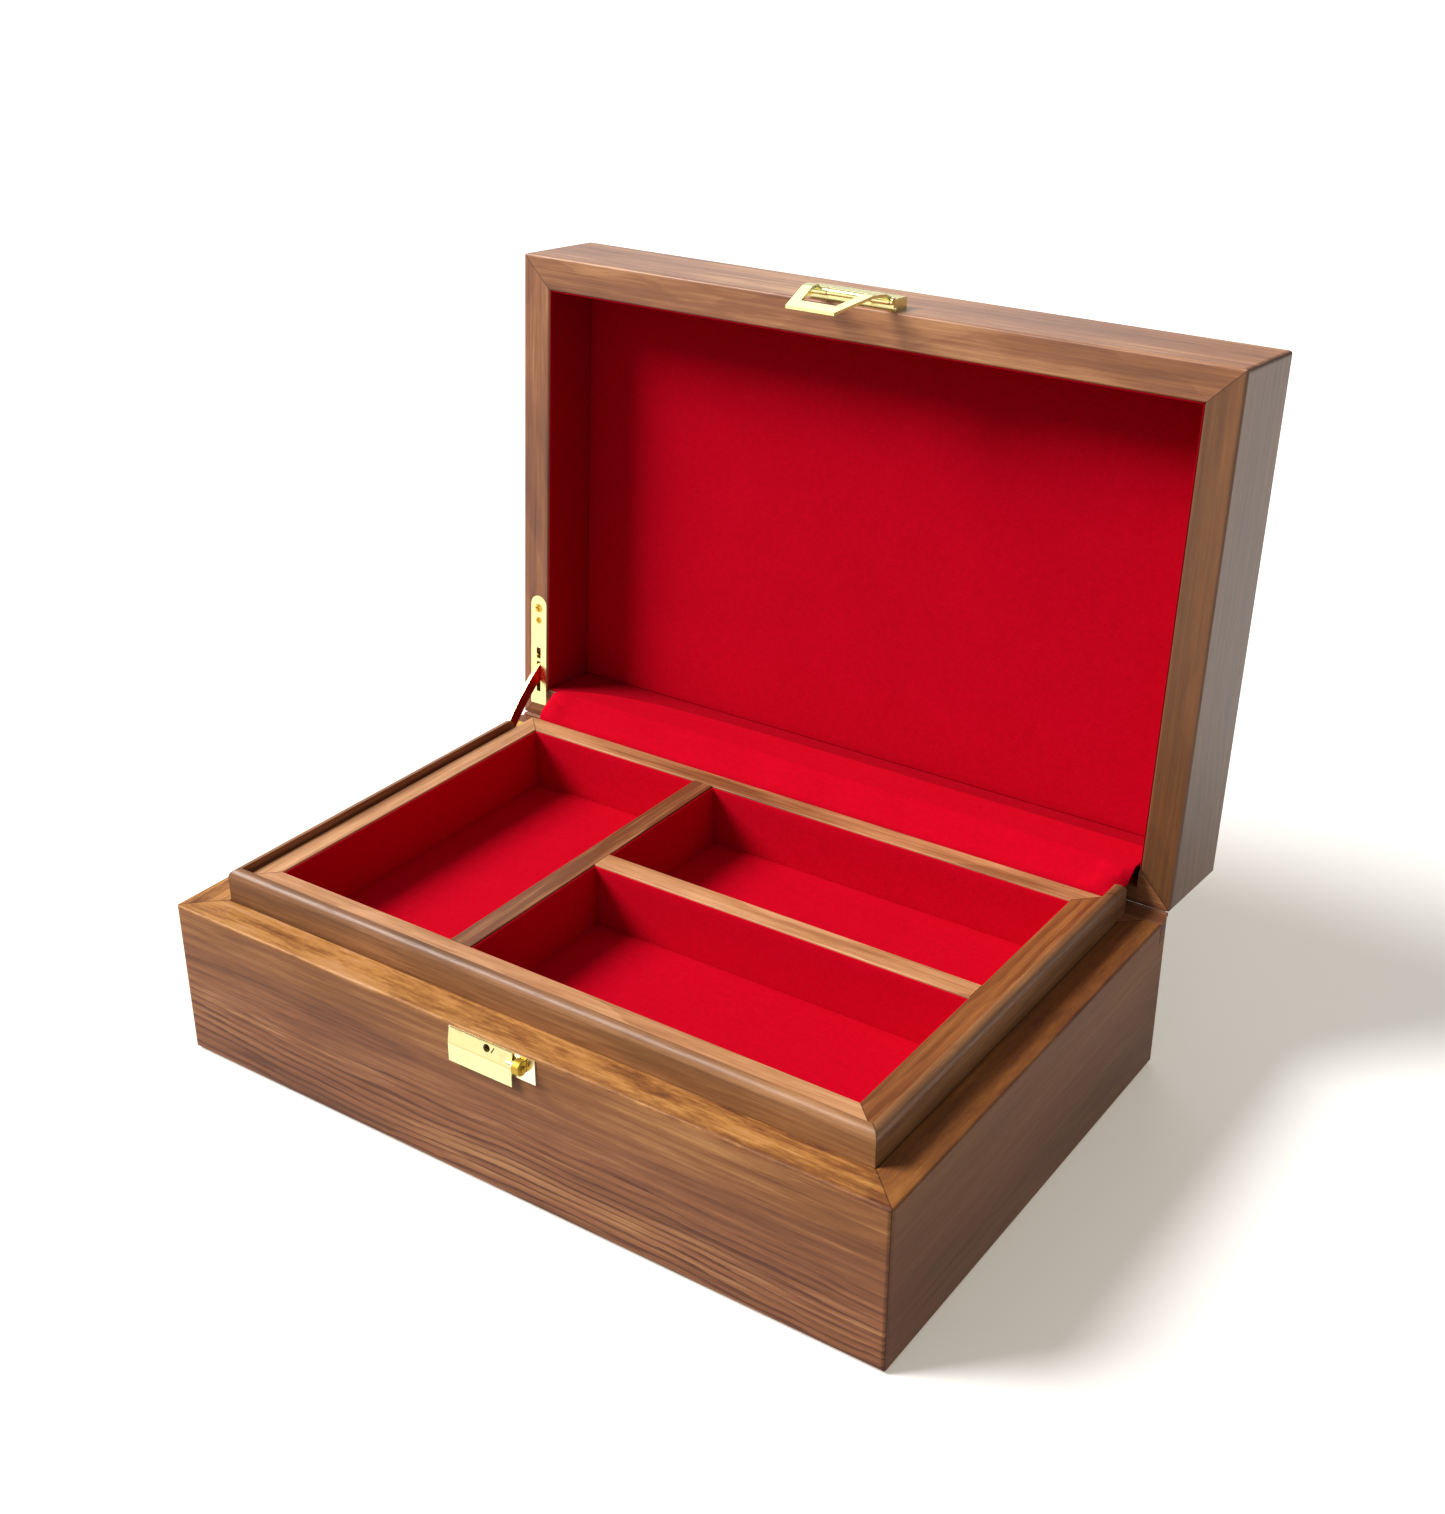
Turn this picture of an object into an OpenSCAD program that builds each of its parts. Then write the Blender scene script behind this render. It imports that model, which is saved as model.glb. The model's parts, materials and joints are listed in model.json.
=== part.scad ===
// Walnut watch box with a lift-out velvet tray, butt hinges, a lid stay and a bail clasp.
// Millimetres. +Z is up, the front faces -Y, and the origin is the centre of the underside.
// Lid parts are drawn where they lie when the lid is shut, then turned open by lid_open().

/* [Box] */
// Width over the outer faces
box_w = 300; // [260:1:340]
// Depth over the outer faces
box_d = 196; // [180:1:220]
// Height of the ledge that the lid closes on
base_h = 62.5; // [60:0.5:80]
// Thickness of the base walls, which is the width of the ledge
wall_t = 14; // [13.8:0.1:16]
// Thickness of the felt under the base
felt_t = 1; // [0.6:0.1:2]
// Thickness of the floor board
floor_t = 6; // [4:0.5:8]
// Radius on the long outer edges
edge_r = 1; // [0.6:0.1:1.5]
// Radius on the upright outer corners
corner_r = 1.8; // [1.2:0.1:3]

/* [Lip] */
// Height of the lip above the ledge
lip_rise = 12.5; // [10:0.5:14]
// Thickness of the lip strips
lip_t = 3.6; // [3.4:0.1:4]
// Radius of the lip's rounded top edge
lip_r = 3.2; // [2:0.1:3.2]
// Room behind the left lip for the stay arm
lip_stay_room = 27; // [22:0.5:28]

/* [Lid] */
// Height of the lid's sides
lid_h = 41.5; // [40:0.5:50]
// Thickness of the lid's rails
rail_t = 13.1; // [12.6:0.1:13.1]
// Thickness of the top panel
panel_t = 8; // [6:0.5:8.5]
// Depth of the space inside the lid
lid_room = 26; // [22:0.5:26]
// Angle that the lid opens to
open_angle = 94; // [92:0.5:96]
// Gap between the ledge and the closed lid
rim_gap = 0.2; // [0.15:0.01:0.3]

/* [Tray] */
// Thickness of the tray's rails and dividers
tray_t = 9; // [8:0.1:9.4]
// Height of the tray's top edge above the underside
tray_top = 72.2; // [71:0.1:73]
// Height of the tray's bottom above the underside
tray_base = 42; // [40:0.5:44]
// Thickness of the tray's bottom board
tray_board_t = 4; // [3:0.5:5]
// Centre of the front-to-back divider
main_x = -36.8; // [-50:0.1:-25]
// Centre of the cross divider
cross_y = 2.9; // [-10:0.1:10]
// Gap between the tray and the lips
tray_gap = 1.2; // [0.8:0.1:1.6]

/* [Hinges] */
// Length of each butt hinge
hinge_len = 30; // [24:1:36]
// Distance from each hinge's middle to the nearer side of the box
hinge_end = 55; // [45:1:70]
// Radius of the hinge barrel
barrel_r = 2.2; // [2:0.1:2.4]
// Radius of the hinge pin
hinge_pin_r = 1.1; // [0.9:0.05:1.2]
// Distance of the hinge line behind the box
hinge_back = 1; // [0.8:0.1:1.2]

/* [Stay] */
// Thickness of the stay arm
arm_t = 1.4; // [1.2:0.1:1.6]
// Width of the stay arm
arm_w = 5.6; // [5:0.1:5.8]
// Distance of the stay from the left face
stay_in = 8.1; // [7.6:0.1:8.6]
// Length of the slotted leaf on the lid
stay_leaf_len = 49; // [46:0.5:52]

/* [Clasp and catch] */
// Width of the clasp housing
clasp_w = 36.4; // [36:0.2:38]
// Length of the bail from its pin to its tip
bail_len = 27; // [26.5:0.1:27.5]
// Width of the bail's tip
bail_tip_w = 20; // [18:0.5:22]
// Width of the catch backplate
catch_w = 36.4; // [34:0.2:38]
// Width of the catch lever
lever_w = 27; // [26:0.2:27.2]

/* [Hidden] */
$fn = 48;
eps = 0.01;
big = 400;
fit = 0.05;
slack = 0.1;

half_w = box_w / 2;
half_d = box_d / 2;
wall_h = base_h - felt_t;
floor_z = felt_t + 2;
floor_top = floor_z + floor_t;
groove = 4;
felt_in = 3;

lip_top = base_h + lip_rise;
lip_x = half_w - wall_t;
lip_y = half_d - wall_t;
well_x = lip_x - lip_t;
well_front = -(lip_y - lip_t);
well_back = lip_y;
lip_right_past = 7.4;
lip_pocket_room = 0.8;

hinge_x = half_w - hinge_end;
hinge_y = half_d + hinge_back;
hinge_z = base_h + rim_gap / 2;
rim_z = base_h + rim_gap;
lid_top = rim_z + lid_h;
rebate = 7;
bead_r = hinge_back - slack;
bead_root = 1;
lining_t = 0.5;
lining_x = half_w - rail_t - lining_t;
lining_y = half_d - rail_t - lining_t;
pad_z = rim_z + lid_room;
pad_t = 4.2;
board_t = 3;
board_z = lid_top - panel_t - board_t - slack;

tray_x = well_x - tray_gap;
tray_front = well_front + 1;
tray_back = well_back - tray_gap;
tray_d = tray_back - tray_front;
tray_mid_y = (tray_back + tray_front) / 2;
tray_h = tray_top - tray_base;
tray_groove = 3;
tray_edge_r = 0.5;
tray_corner_r = 0.8;
tray_in_x = tray_x - tray_t;
tray_in_front = tray_front + tray_t;
tray_in_back = tray_back - tray_t;
tray_floor_z = tray_base + tray_board_t;
velvet_t = 0.7;
velvet_floor_t = 1.5;
velvet_drop = 0.6;
velvet_rim = 0.4;
pad_edge_r = 1.4;
rest_w = 7;
rest_h = 8;

strip_d = 6.2;
strip_h = 8;
strip_line = 0.4;

leaf_t = 1;
leaf_d = 9.5;
leaf_front = half_d - leaf_d;
knuckle_gap = 0.2;
knuckle_room = 0.15;
barrel_room = 0.25;
pin_stand = 0.3;
lid_knuckle = hinge_len / 3 - knuckle_gap;
hinge_screw_x = 9.5;
hinge_screw_in = 5.6;
hinge_screw_y = leaf_front + hinge_screw_in;
screw_head_r = 1.9;
screw_r = 0.9;
screw_len = 7.5;

stay_x = -half_w + stay_in;
stay_r_mid = 15.6;
stay_r_end = 21;
stay_half = open_angle / 2;
// The arm's own radius and the distance of its centre behind the hinge line.
stay_c = stay_r_end * cos(stay_half);
stay_s = stay_r_end * sin(stay_half);
arm_back = (stay_c * stay_c + stay_s * stay_s - stay_r_mid * stay_r_mid) / (2 * (stay_r_mid - stay_c));
arm_radius = arm_back + stay_r_mid;
arm_tail = 5;
hook_from = 22;
hook_to = 28.6;
hook_gap = 1.7;
stay_plate_t = 1.2;
stay_plate_w = 8.2;
stay_slot_w = 2;
stay_slot_room = 0.5;
stay_slot_end_room = 2.2;
stay_slot_from = stay_r_mid - arm_w / 2 - stay_slot_room;
stay_slot_to = stay_r_end + arm_w / 2 + stay_slot_end_room;
stay_plate_from = 7.2;
stay_plate_len = 30;
stay_plate_screw = 33.2;
stay_leaf_from = 6.5;
mortise_w = 2.2;
mortise_from = 7.3;
mortise_to = 30;
mortise_deep = 25.5;
leaf_hole_from = 27.4;
leaf_hole_len = 4.8;
leaf_hole_w = 2.2;
leaf_screw_1 = 50;
leaf_screw_2 = 44.6;
leaf_screw_2_r = 1.5;

catch_drop = 4.3;
catch_z = base_h - catch_drop;
catch_out = 2.1;
catch_plate_t = 0.4;
catch_plate_up = 3.2;
catch_plate_down = 6.2;
catch_plate_top = catch_z + catch_plate_up;
catch_plate_low = catch_z - catch_plate_down;
catch_pin_r = 0.7;
catch_web_t = 1.6;
catch_lug_l = 10;
catch_lug_r = 11.6;
catch_lug_round = 1.3;
catch_screw_x = -8;
catch_screw_z = catch_z;
catch_screw_head_r = 1.5;
catch_hole_x = -1.2;
catch_hole_up = 1.3;
catch_hole_z = catch_z + catch_hole_up;
catch_hole_r = 1.4;
catch_hole_deep = 4;
lever_t = 0.5;
lever_front = 2;
lever_down = 9.5;
lever_up = 3.1;
lever_left = -17.6;
lever_right = lever_left + lever_w;
lever_bend_z = -2.4;
lever_top_in = 1;
lever_slit_x = 1.4;
lever_slit_len = 2.4;
lever_slit_w = 0.5;
lever_slit_turn = 28;
lever_ear_l = 8.2;
lever_ear_r = 9.8;
lever_ear_round = 1.2;
catch_pin_l = 8.4;
drum_r = 2.7;
drum_l = 11.8;
drum_end = 14.8;
drum_edge = 0.5;
drum_room = 0.15;
boss_r = 1;
boss_end = 15.6;
boss_edge = 0.4;

bail_out = 3.4;
bail_up = 1.2;
bail_z = rim_z + bail_up;
bail_pin_r = 0.8;
bail_barrel_r = 1.5;
bail_root_half = 16.9;
bail_bar = 4.2;
bail_tip_bar = 5.6;
bail_knuckle_in = 9.3;
bail_t = 1.1;
bail_bow = 1.6;
bail_bow_from = 2.6;
bail_step_from = 8.6;
bail_step_turn = 0.15;
bail_tip_out = 0.8;
bail_heel = 0.8;
bail_knuckle_gap = 0.3;
clasp_cheek_in = 17.2;
clasp_body_up = 1.9;
clasp_body_h = 7.6;
clasp_body_z = bail_z + clasp_body_up;
clasp_out = 4.2;
clasp_edge_r = 0.8;
clasp_back_t = 1.2;
clasp_web_h = 2.9;
clasp_web_front = 0.6;
clasp_web_back = 1;
brad_r = 0.8;
brad_len = 7;
brad_x = 13.5;
brad_down = 4.2;
brad_z = catch_z - brad_down;

flap_x = tray_x;
flap_t = 0.6;
flap_gap = 0.5;
flap_up = 12;
flap_y = tray_back + flap_gap;
flap_low = tray_base + flap_up;
flap_bend = 3.3;
flap_over = 3;
flap_in = 7;
// The flap's upper side from its glued edge behind the tray to its free edge in the open lid.
flap_line = [
    [flap_y, flap_low],
    [flap_y, tray_top - flap_bend / 2],
    [flap_y + flap_bend / 3, tray_top + flap_bend / 8],
    [flap_y + flap_bend, tray_top + flap_bend / 2],
    opened(rail_t + flap_over - flap_t / 3, -flap_bend / 6),
    opened(rail_t + flap_over, flap_bend / 2.5),
    opened(rail_t + flap_over, flap_in)
];
// How far the lower side lies from each of those points, in thicknesses.
flap_under = [[1, 0], [1, -0.3], [0.6, -0.7], [0.3, -1], [0.3, -1], [0, -1], [0, -1]];

WALNUT = "#7b4b2c";
WALNUT_LIGHT = "#a5693c";
WALNUT_PALE = "#b97c48";
VELVET = "#c1001f";
BRASS = "#e3c45c";
PLYWOOD = "#b58a5a";
FELT = "#2e2320";

// Where a point of the lid is while the lid is open, as [y, z]. along runs forward from the hinge
// line in the shut lid, and up runs up from it.
function opened(along, up) = [
    hinge_y - cos(open_angle) * along + sin(open_angle) * up,
    hinge_z + sin(open_angle) * along + cos(open_angle) * up
];

// ---- Shapes used by many parts ----

// A rectangle on the x axis with all four corners rounded.
module soft_profile(w, h, r) {
    translate([-w / 2 + r, 0])
        square([w - 2 * r, h]);
    translate([-w / 2, r])
        square([w, h - 2 * r]);
    for (x = [-1, 1])
        for (y = [r, h - r])
            translate([x * (w / 2 - r), y])
                circle(r);
}

// A bar along x with rounded long edges, standing on z = 0.
module soft_bar(len, t, h, r) {
    rotate([90, 0, 90])
        linear_extrude(len, center = true)
            soft_profile(t, h, r);
}

// A block with rounded upright corners only, standing on z = 0.
module corner_block(w, d, h, r) {
    linear_extrude(h)
        translate([0, -d / 2])
            soft_profile(w, d, r);
}

// One mitred side of a frame of rails. Sides count from the front: front, right, back, left.
module ring_side(w, d, h, t, side, r, upright_r) {
    len = side % 2 == 0 ? w : d;
    dep = side % 2 == 0 ? d : w;
    intersection() {
        rotate([0, 0, 90 * side])
            translate([0, -dep / 2 + t / 2, 0])
                intersection() {
                    soft_bar(len, t, h, r);
                    linear_extrude(h)
                        polygon([
                            [-len / 2, -t / 2], [len / 2, -t / 2],
                            [len / 2 - t, t / 2], [-len / 2 + t, t / 2]
                        ]);
                }
        corner_block(w, d, h, upright_r);
    }
}

// A cylinder along x, centred on the origin.
module rod_x(len, r) {
    rotate([0, 90, 0])
        cylinder(h = len, r = r, center = true);
}

// A rod along x between two places.
module rod_between(x0, x1, r) {
    translate([(x0 + x1) / 2, 0, 0])
        rod_x(x1 - x0, r);
}

// A countersunk screw that points down, with its head's face at z = 0 and a cross slot.
module screw(head_r, r, len) {
    slot_w = head_r * 0.3;
    slot_deep = head_r * 0.3;
    difference() {
        union() {
            translate([0, 0, -head_r * 0.6])
                cylinder(h = head_r * 0.6, r1 = r, r2 = head_r);
            translate([0, 0, -len])
                cylinder(h = len - head_r * 0.3, r = r);
        }
        for (a = [0, 90])
            rotate([0, 0, a])
                translate([-head_r * 0.7, -slot_w / 2, -slot_deep])
                    cube([head_r * 1.4, slot_w, slot_deep + eps]);
    }
}

// The hole that a screw of the same size sits in.
module screw_hole(head_r, r, len) {
    translate([0, 0, -head_r * 0.6])
        cylinder(h = head_r * 0.6 + eps, r1 = r + fit, r2 = head_r + fit);
    translate([0, 0, -len - slack])
        cylinder(h = len, r = r + fit);
}

// Puts lid parts, drawn shut, where they are when the lid is open.
module lid_open() {
    translate([0, hinge_y, hinge_z])
        rotate([-open_angle, 0, 0])
            translate([0, -hinge_y, -hinge_z])
                children();
}

// ---- Recesses shared by two or more parts ----

// Room for both hinge barrels, cut from the wood on each side of the joint.
module hinge_barrel_room() {
    for (x = [-hinge_x, hinge_x])
        translate([x, hinge_y, hinge_z])
            rod_x(hinge_len + 4 * barrel_room, barrel_r + barrel_room);
}

// Room for both leaves of the hinges, from z0 up to z0 plus the leaf.
module hinge_leaf_room(z0) {
    for (x = [-hinge_x, hinge_x])
        translate([x - hinge_len / 2 - fit, leaf_front - fit, z0])
            cube([hinge_len + 2 * fit, leaf_d + big, leaf_t]);
}

// Screw places on both hinges.
module at_hinge_screws() {
    for (x = [-hinge_x, hinge_x])
        for (s = [-hinge_screw_x, hinge_screw_x])
            translate([x + s, hinge_screw_y, 0])
                children();
}

// Outline of a stay plate: a strip with one round end away from the hinge line.
module stay_outline(from, len, grow) {
    r = stay_plate_w / 2 + grow;
    translate([stay_x, hinge_y - from - len + r - grow])
        circle(r);
    translate([stay_x - r, hinge_y - from - len + r - grow])
        square([2 * r, len - r + 2 * grow]);
}

module stay_plate_room() {
    translate([0, 0, base_h - stay_plate_t])
        linear_extrude(stay_plate_t + eps)
            stay_outline(stay_plate_from, stay_plate_len, fit);
    translate([stay_x, hinge_y - stay_plate_screw, base_h])
        screw_hole(screw_head_r, screw_r, screw_len);
}

module stay_leaf_room() {
    translate([0, 0, rim_z - eps])
        linear_extrude(stay_plate_t + eps)
            stay_outline(stay_leaf_from, stay_leaf_len, fit);
    stay_leaf_screw_places()
        screw_hole(screw_head_r, screw_r, screw_len);
    translate([stay_x, hinge_y - leaf_screw_2, rim_z])
        rotate([180, 0, 0])
            screw_hole(leaf_screw_2_r, screw_r, screw_len);
}

module stay_leaf_screw_places() {
    translate([stay_x, hinge_y - leaf_screw_1, rim_z])
        rotate([180, 0, 0])
            children();
}

// The pocket that one half of the stay arm swings into, below (-1) or above (1) the joint.
module stay_mortise(side) {
    z0 = side < 0 ? base_h - mortise_deep : rim_z;
    translate([stay_x - mortise_w / 2, hinge_y - mortise_to, z0])
        cube([mortise_w, mortise_to - mortise_from, mortise_deep]);
}

// ---- Base ----

module base_wall(side) {
    color(WALNUT)
        difference() {
            translate([0, 0, felt_t])
                ring_side(box_w, box_d, wall_h, wall_t, side, edge_r, corner_r);
            translate([0, 0, floor_z - slack])
                linear_extrude(floor_t + 2 * slack)
                    square([box_w - 2 * (wall_t - groove) + slack,
                            box_d - 2 * (wall_t - groove) + slack], center = true);
            children();
        }
}

module base_front_wall() {
    base_wall(0) {
        brad_places(brad_z)
            brad_hole();
        catch_screw_place()
            screw_hole(catch_screw_head_r, screw_r, screw_len);
        catch_hole(half_d - catch_hole_deep);
        drum_recess();
    }
}

module base_right_wall() {
    base_wall(1)
        batten_room();
}

module base_back_wall() {
    base_wall(2) {
        batten_room();
        stay_plate_room();
        stay_mortise(-1);
        hinge_leaf_room(base_h - leaf_t);
        at_hinge_screws()
            translate([0, 0, base_h])
                screw_hole(screw_head_r, screw_r, screw_len);
    }
}

module base_left_wall() {
    base_wall(3) {
        batten_room();
        stay_plate_room();
        stay_mortise(-1);
    }
}

module base_floor() {
    color(PLYWOOD)
        translate([0, 0, floor_z])
            linear_extrude(floor_t)
                square([box_w - 2 * (wall_t - groove) - slack,
                        box_d - 2 * (wall_t - groove) - slack], center = true);
}

module base_felt() {
    color(FELT)
        corner_block(box_w - 2 * felt_in, box_d - 2 * felt_in, felt_t, corner_r);
}

// The rebate along the back edge that the batten sits in.
module batten_room() {
    translate([-half_w - 1, half_d - strip_d, base_h - strip_h])
        cube([box_w + 2, strip_d + 1, strip_h + 1]);
}

// A round nose along the hinge line that closes the gap behind the open lid.
module hinge_bead() {
    len = box_w - corner_r;
    translate([0, hinge_y, hinge_z])
        rod_x(len, bead_r);
    translate([-len / 2, half_d - bead_root, base_h - bead_r])
        cube([len, hinge_back + bead_root, bead_r]);
}

module hinge_batten() {
    color(WALNUT_LIGHT)
        difference() {
            union() {
                translate([0, half_d - (strip_d - strip_line) / 2, base_h - strip_h + eps])
                    intersection() {
                        soft_bar(box_w, strip_d - strip_line, strip_h - eps, strip_line);
                        translate([0, -half_d + (strip_d - strip_line) / 2, -1])
                            corner_block(box_w, box_d, strip_h + 2, corner_r);
                    }
                hinge_bead();
            }
            hinge_barrel_room();
            hinge_leaf_room(base_h - leaf_t);
            at_hinge_screws()
                translate([0, 0, base_h])
                    screw_hole(screw_head_r, screw_r, screw_len);
        }
}

// Profile of a lip strip with its outer side at x = 0: a flat board with a round outer top edge.
module lip_profile() {
    h = lip_top - floor_top;
    intersection() {
        square([lip_t, h]);
        union() {
            square([lip_t, h - lip_r]);
            translate([lip_r, 0])
                square([lip_t - lip_r, h]);
            translate([lip_r, h - lip_r])
                circle(lip_r);
        }
    }
}

// A strip along y with its outer face at x = 0, from y0 to y1.
module lip_strip(y0, y1) {
    translate([0, y1, floor_top])
        rotate([90, 0, 0])
            linear_extrude(y1 - y0)
                lip_profile();
}

// Keeps what lies behind the mitre at a front corner of the lips. flip is 1 for the left corner.
module lip_mitre(flip) {
    linear_extrude(big)
        polygon([
            [flip * -lip_x, -lip_y],
            [flip * -(lip_x - big), -lip_y + big],
            [flip * -(lip_x + 1), -lip_y + big],
            [flip * -(lip_x + 1), -lip_y - 1],
        ]);
}

module lip_front() {
    color(WALNUT_LIGHT)
        difference() {
            translate([0, -lip_y, 0])
                rotate([0, 0, -90])
                    mirror([0, 1, 0])
                        mirror([1, 0, 0])
                            lip_strip(-lip_x, lip_x);
            lip_mitre(1);
            lip_mitre(-1);
        }
}

// Left or right lip. Above the ledge it stops at y_end with a rounded top corner.
module lip_side(flip, y_end) {
    color(WALNUT_LIGHT)
        difference() {
            intersection() {
                scale_x(flip)
                    translate([-lip_x, 0, 0])
                        lip_strip(-lip_y, max(lip_y, y_end));
                lip_mitre(flip);
            }
            if (y_end < lip_y)
                translate([-big / 2, y_end, base_h])
                    cube([big, big, big]);
            else
                translate([-big / 2, lip_y, base_h + fit - big])
                    cube([big, big, big]);
            translate([0, y_end - lip_r, lip_top - lip_r])
                rotate([0, -90, 0])
                    linear_extrude(big, center = true)
                        difference() {
                            square([lip_r + 1, lip_r + 1]);
                            circle(lip_r);
                        }
        }
}

// Mirrors left and right when flip is -1.
module scale_x(flip) {
    mirror([flip < 0 ? 1 : 0, 0, 0])
        children();
}

module lip_right() {
    lip_side(-1, lip_y + lip_right_past);
}

// The pocket in the shut lid that takes the end of the right lip.
module lip_pocket() {
    y0 = lining_y - lip_pocket_room;
    translate([well_x - lip_pocket_room, y0, rim_z - 1])
        cube([lining_x - well_x + lip_pocket_room,
              lip_y + lip_right_past + lip_pocket_room - y0, lip_rise + 1 + lip_pocket_room]);
}

module lip_left() {
    lip_side(1, hinge_y - lip_stay_room);
}

module well_floor_pad() {
    color(VELVET)
        translate([-well_x + slack, well_front + slack, floor_top])
            cube([2 * (well_x - slack), well_back - well_front - 2 * slack, velvet_floor_t]);
}

module well_side_lining() {
    z0 = floor_top + velvet_floor_t + slack;
    color(VELVET)
        translate([0, 0, z0])
            linear_extrude(tray_base - rest_h - z0 - slack)
                difference() {
                    translate([-well_x + fit, well_front + fit])
                        square([2 * (well_x - fit), well_back - well_front - 2 * fit]);
                    translate([-well_x + velvet_t, well_front + velvet_t])
                        square([2 * (well_x - velvet_t), well_back - well_front - 2 * velvet_t]);
                }
}

module tray_rests() {
    color(WALNUT)
        for (x = [-well_x, well_x - rest_w])
            translate([x, well_front + slack, tray_base - rest_h])
                cube([rest_w, well_back - well_front - 2 * slack, rest_h]);
}

// ---- Hinges ----

// One leaf with its knuckles. The knuckles are the outer two, or the middle one for the lid.
module hinge_leaf(x, z0, middle) {
    far = hinge_len;
    color(BRASS)
        difference() {
            union() {
                translate([x - hinge_len / 2, leaf_front, z0])
                    cube([hinge_len, hinge_y - leaf_front, leaf_t]);
                translate([x, hinge_y, hinge_z])
                    if (middle)
                        rod_x(lid_knuckle, barrel_r);
                    else
                        rod_x(hinge_len, barrel_r);
            }
            translate([x, hinge_y, hinge_z])
                if (middle)
                    for (s = [-1, 1])
                        rod_between(min(s * lid_knuckle / 2, s * far),
                                    max(s * lid_knuckle / 2, s * far),
                                    barrel_r + knuckle_room);
                else
                    rod_x(hinge_len / 3 + knuckle_gap, barrel_r + knuckle_room);
            translate([x, hinge_y, hinge_z])
                rod_x(big, hinge_pin_r + fit);
            for (s = [-hinge_screw_x, hinge_screw_x])
                translate([x + s, hinge_screw_y, middle ? z0 : z0 + leaf_t])
                    rotate([middle ? 180 : 0, 0, 0])
                        screw_hole(screw_head_r, screw_r, screw_len);
        }
}

module hinge_base_leaf_left() {
    hinge_leaf(-hinge_x, base_h - leaf_t, false);
}

module hinge_base_leaf_right() {
    hinge_leaf(hinge_x, base_h - leaf_t, false);
}

module hinge_lid_leaf_left() {
    lid_open()
        hinge_leaf(-hinge_x, rim_z, true);
}

module hinge_lid_leaf_right() {
    lid_open()
        hinge_leaf(hinge_x, rim_z, true);
}

module hinge_pin(x) {
    color(BRASS)
        translate([x, hinge_y, hinge_z])
            rod_x(hinge_len + 2 * pin_stand, hinge_pin_r);
}

module hinge_pin_left() {
    hinge_pin(-hinge_x);
}

module hinge_pin_right() {
    hinge_pin(hinge_x);
}

module hinge_base_screws() {
    color(BRASS)
        at_hinge_screws()
            translate([0, 0, base_h])
                screw(screw_head_r, screw_r, screw_len);
}

module hinge_lid_screws() {
    color(BRASS)
        lid_open()
            at_hinge_screws()
                translate([0, 0, rim_z])
                    rotate([180, 0, 0])
                        screw(screw_head_r, screw_r, screw_len);
}

// ---- Stay ----

module stay_plate() {
    color(BRASS)
        difference() {
            translate([0, 0, base_h - stay_plate_t])
                linear_extrude(stay_plate_t)
                    difference() {
                        stay_outline(stay_plate_from, stay_plate_len, 0);
                        stay_slot();
                    }
            translate([stay_x, hinge_y - stay_plate_screw, base_h])
                screw_hole(screw_head_r, screw_r, screw_len);
        }
}

// The slot that the arm slides through.
module stay_slot() {
    translate([stay_x - stay_slot_w / 2, hinge_y - stay_slot_to])
        square([stay_slot_w, stay_slot_to - stay_slot_from]);
}

module stay_plate_screw() {
    color(BRASS)
        translate([stay_x, hinge_y - stay_plate_screw, base_h])
            screw(screw_head_r, screw_r, screw_len);
}

// Keeps the flat arm from one end to the other. The ends lie stay_half to each side of the x axis.
module arm_ends() {
    for (s = [0, 1])
        mirror([0, s])
            rotate(stay_half)
                translate([-big / 2, arm_tail])
                    square([big, big]);
    translate([-big, -big / 2])
        square([big, big]);
}

// The hook at each end of the arm, which stops it under or over a plate.
module arm_hooks() {
    for (s = [0, 1])
        mirror([0, s])
            rotate(stay_half)
                translate([hook_from, hook_gap])
                    square([hook_to - hook_from, arm_tail - hook_gap]);
}

module stay_arm() {
    color(BRASS)
        translate([stay_x, hinge_y, hinge_z])
            rotate([-stay_half, 0, 0])
                rotate([0, 0, 180])
                    rotate([90, 0, 90]) {
                        difference() {
                            translate([-arm_back, 0, -arm_t / 2])
                                difference() {
                                    cylinder(h = arm_t, r = arm_radius + arm_w / 2);
                                    translate([0, 0, -1])
                                        cylinder(h = arm_t + 2, r = arm_radius - arm_w / 2);
                                }
                            linear_extrude(arm_t + 2, center = true)
                                arm_ends();
                        }
                        linear_extrude(arm_t, center = true)
                            arm_hooks();
                    }
}

module stay_leaf() {
    color(BRASS)
        lid_open()
            difference() {
                translate([0, 0, rim_z])
                    linear_extrude(stay_plate_t)
                        difference() {
                            stay_outline(stay_leaf_from, stay_leaf_len, 0);
                            stay_slot();
                            translate([stay_x - leaf_hole_w / 2,
                                       hinge_y - leaf_hole_from - leaf_hole_len])
                                square([leaf_hole_w, leaf_hole_len]);
                        }
                stay_leaf_screw_places()
                    screw_hole(screw_head_r, screw_r, screw_len);
                translate([stay_x, hinge_y - leaf_screw_2, rim_z])
                    rotate([180, 0, 0])
                        screw_hole(leaf_screw_2_r, screw_r, screw_len);
            }
}

module stay_leaf_screws() {
    color(BRASS)
        lid_open() {
            stay_leaf_screw_places()
                screw(screw_head_r, screw_r, screw_len);
            translate([stay_x, hinge_y - leaf_screw_2, rim_z])
                rotate([180, 0, 0])
                    screw(leaf_screw_2_r, screw_r, screw_len);
        }
}

// ---- Catch on the base ----

// Two places for brads on the front face at height z.
module brad_places(z) {
    for (x = [-brad_x, brad_x])
        translate([x, -half_d, z])
            rotate([-90, 0, 0])
                children();
}

module brad() {
    translate([0, 0, -eps])
        cylinder(h = brad_len, r = brad_r);
}

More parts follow.
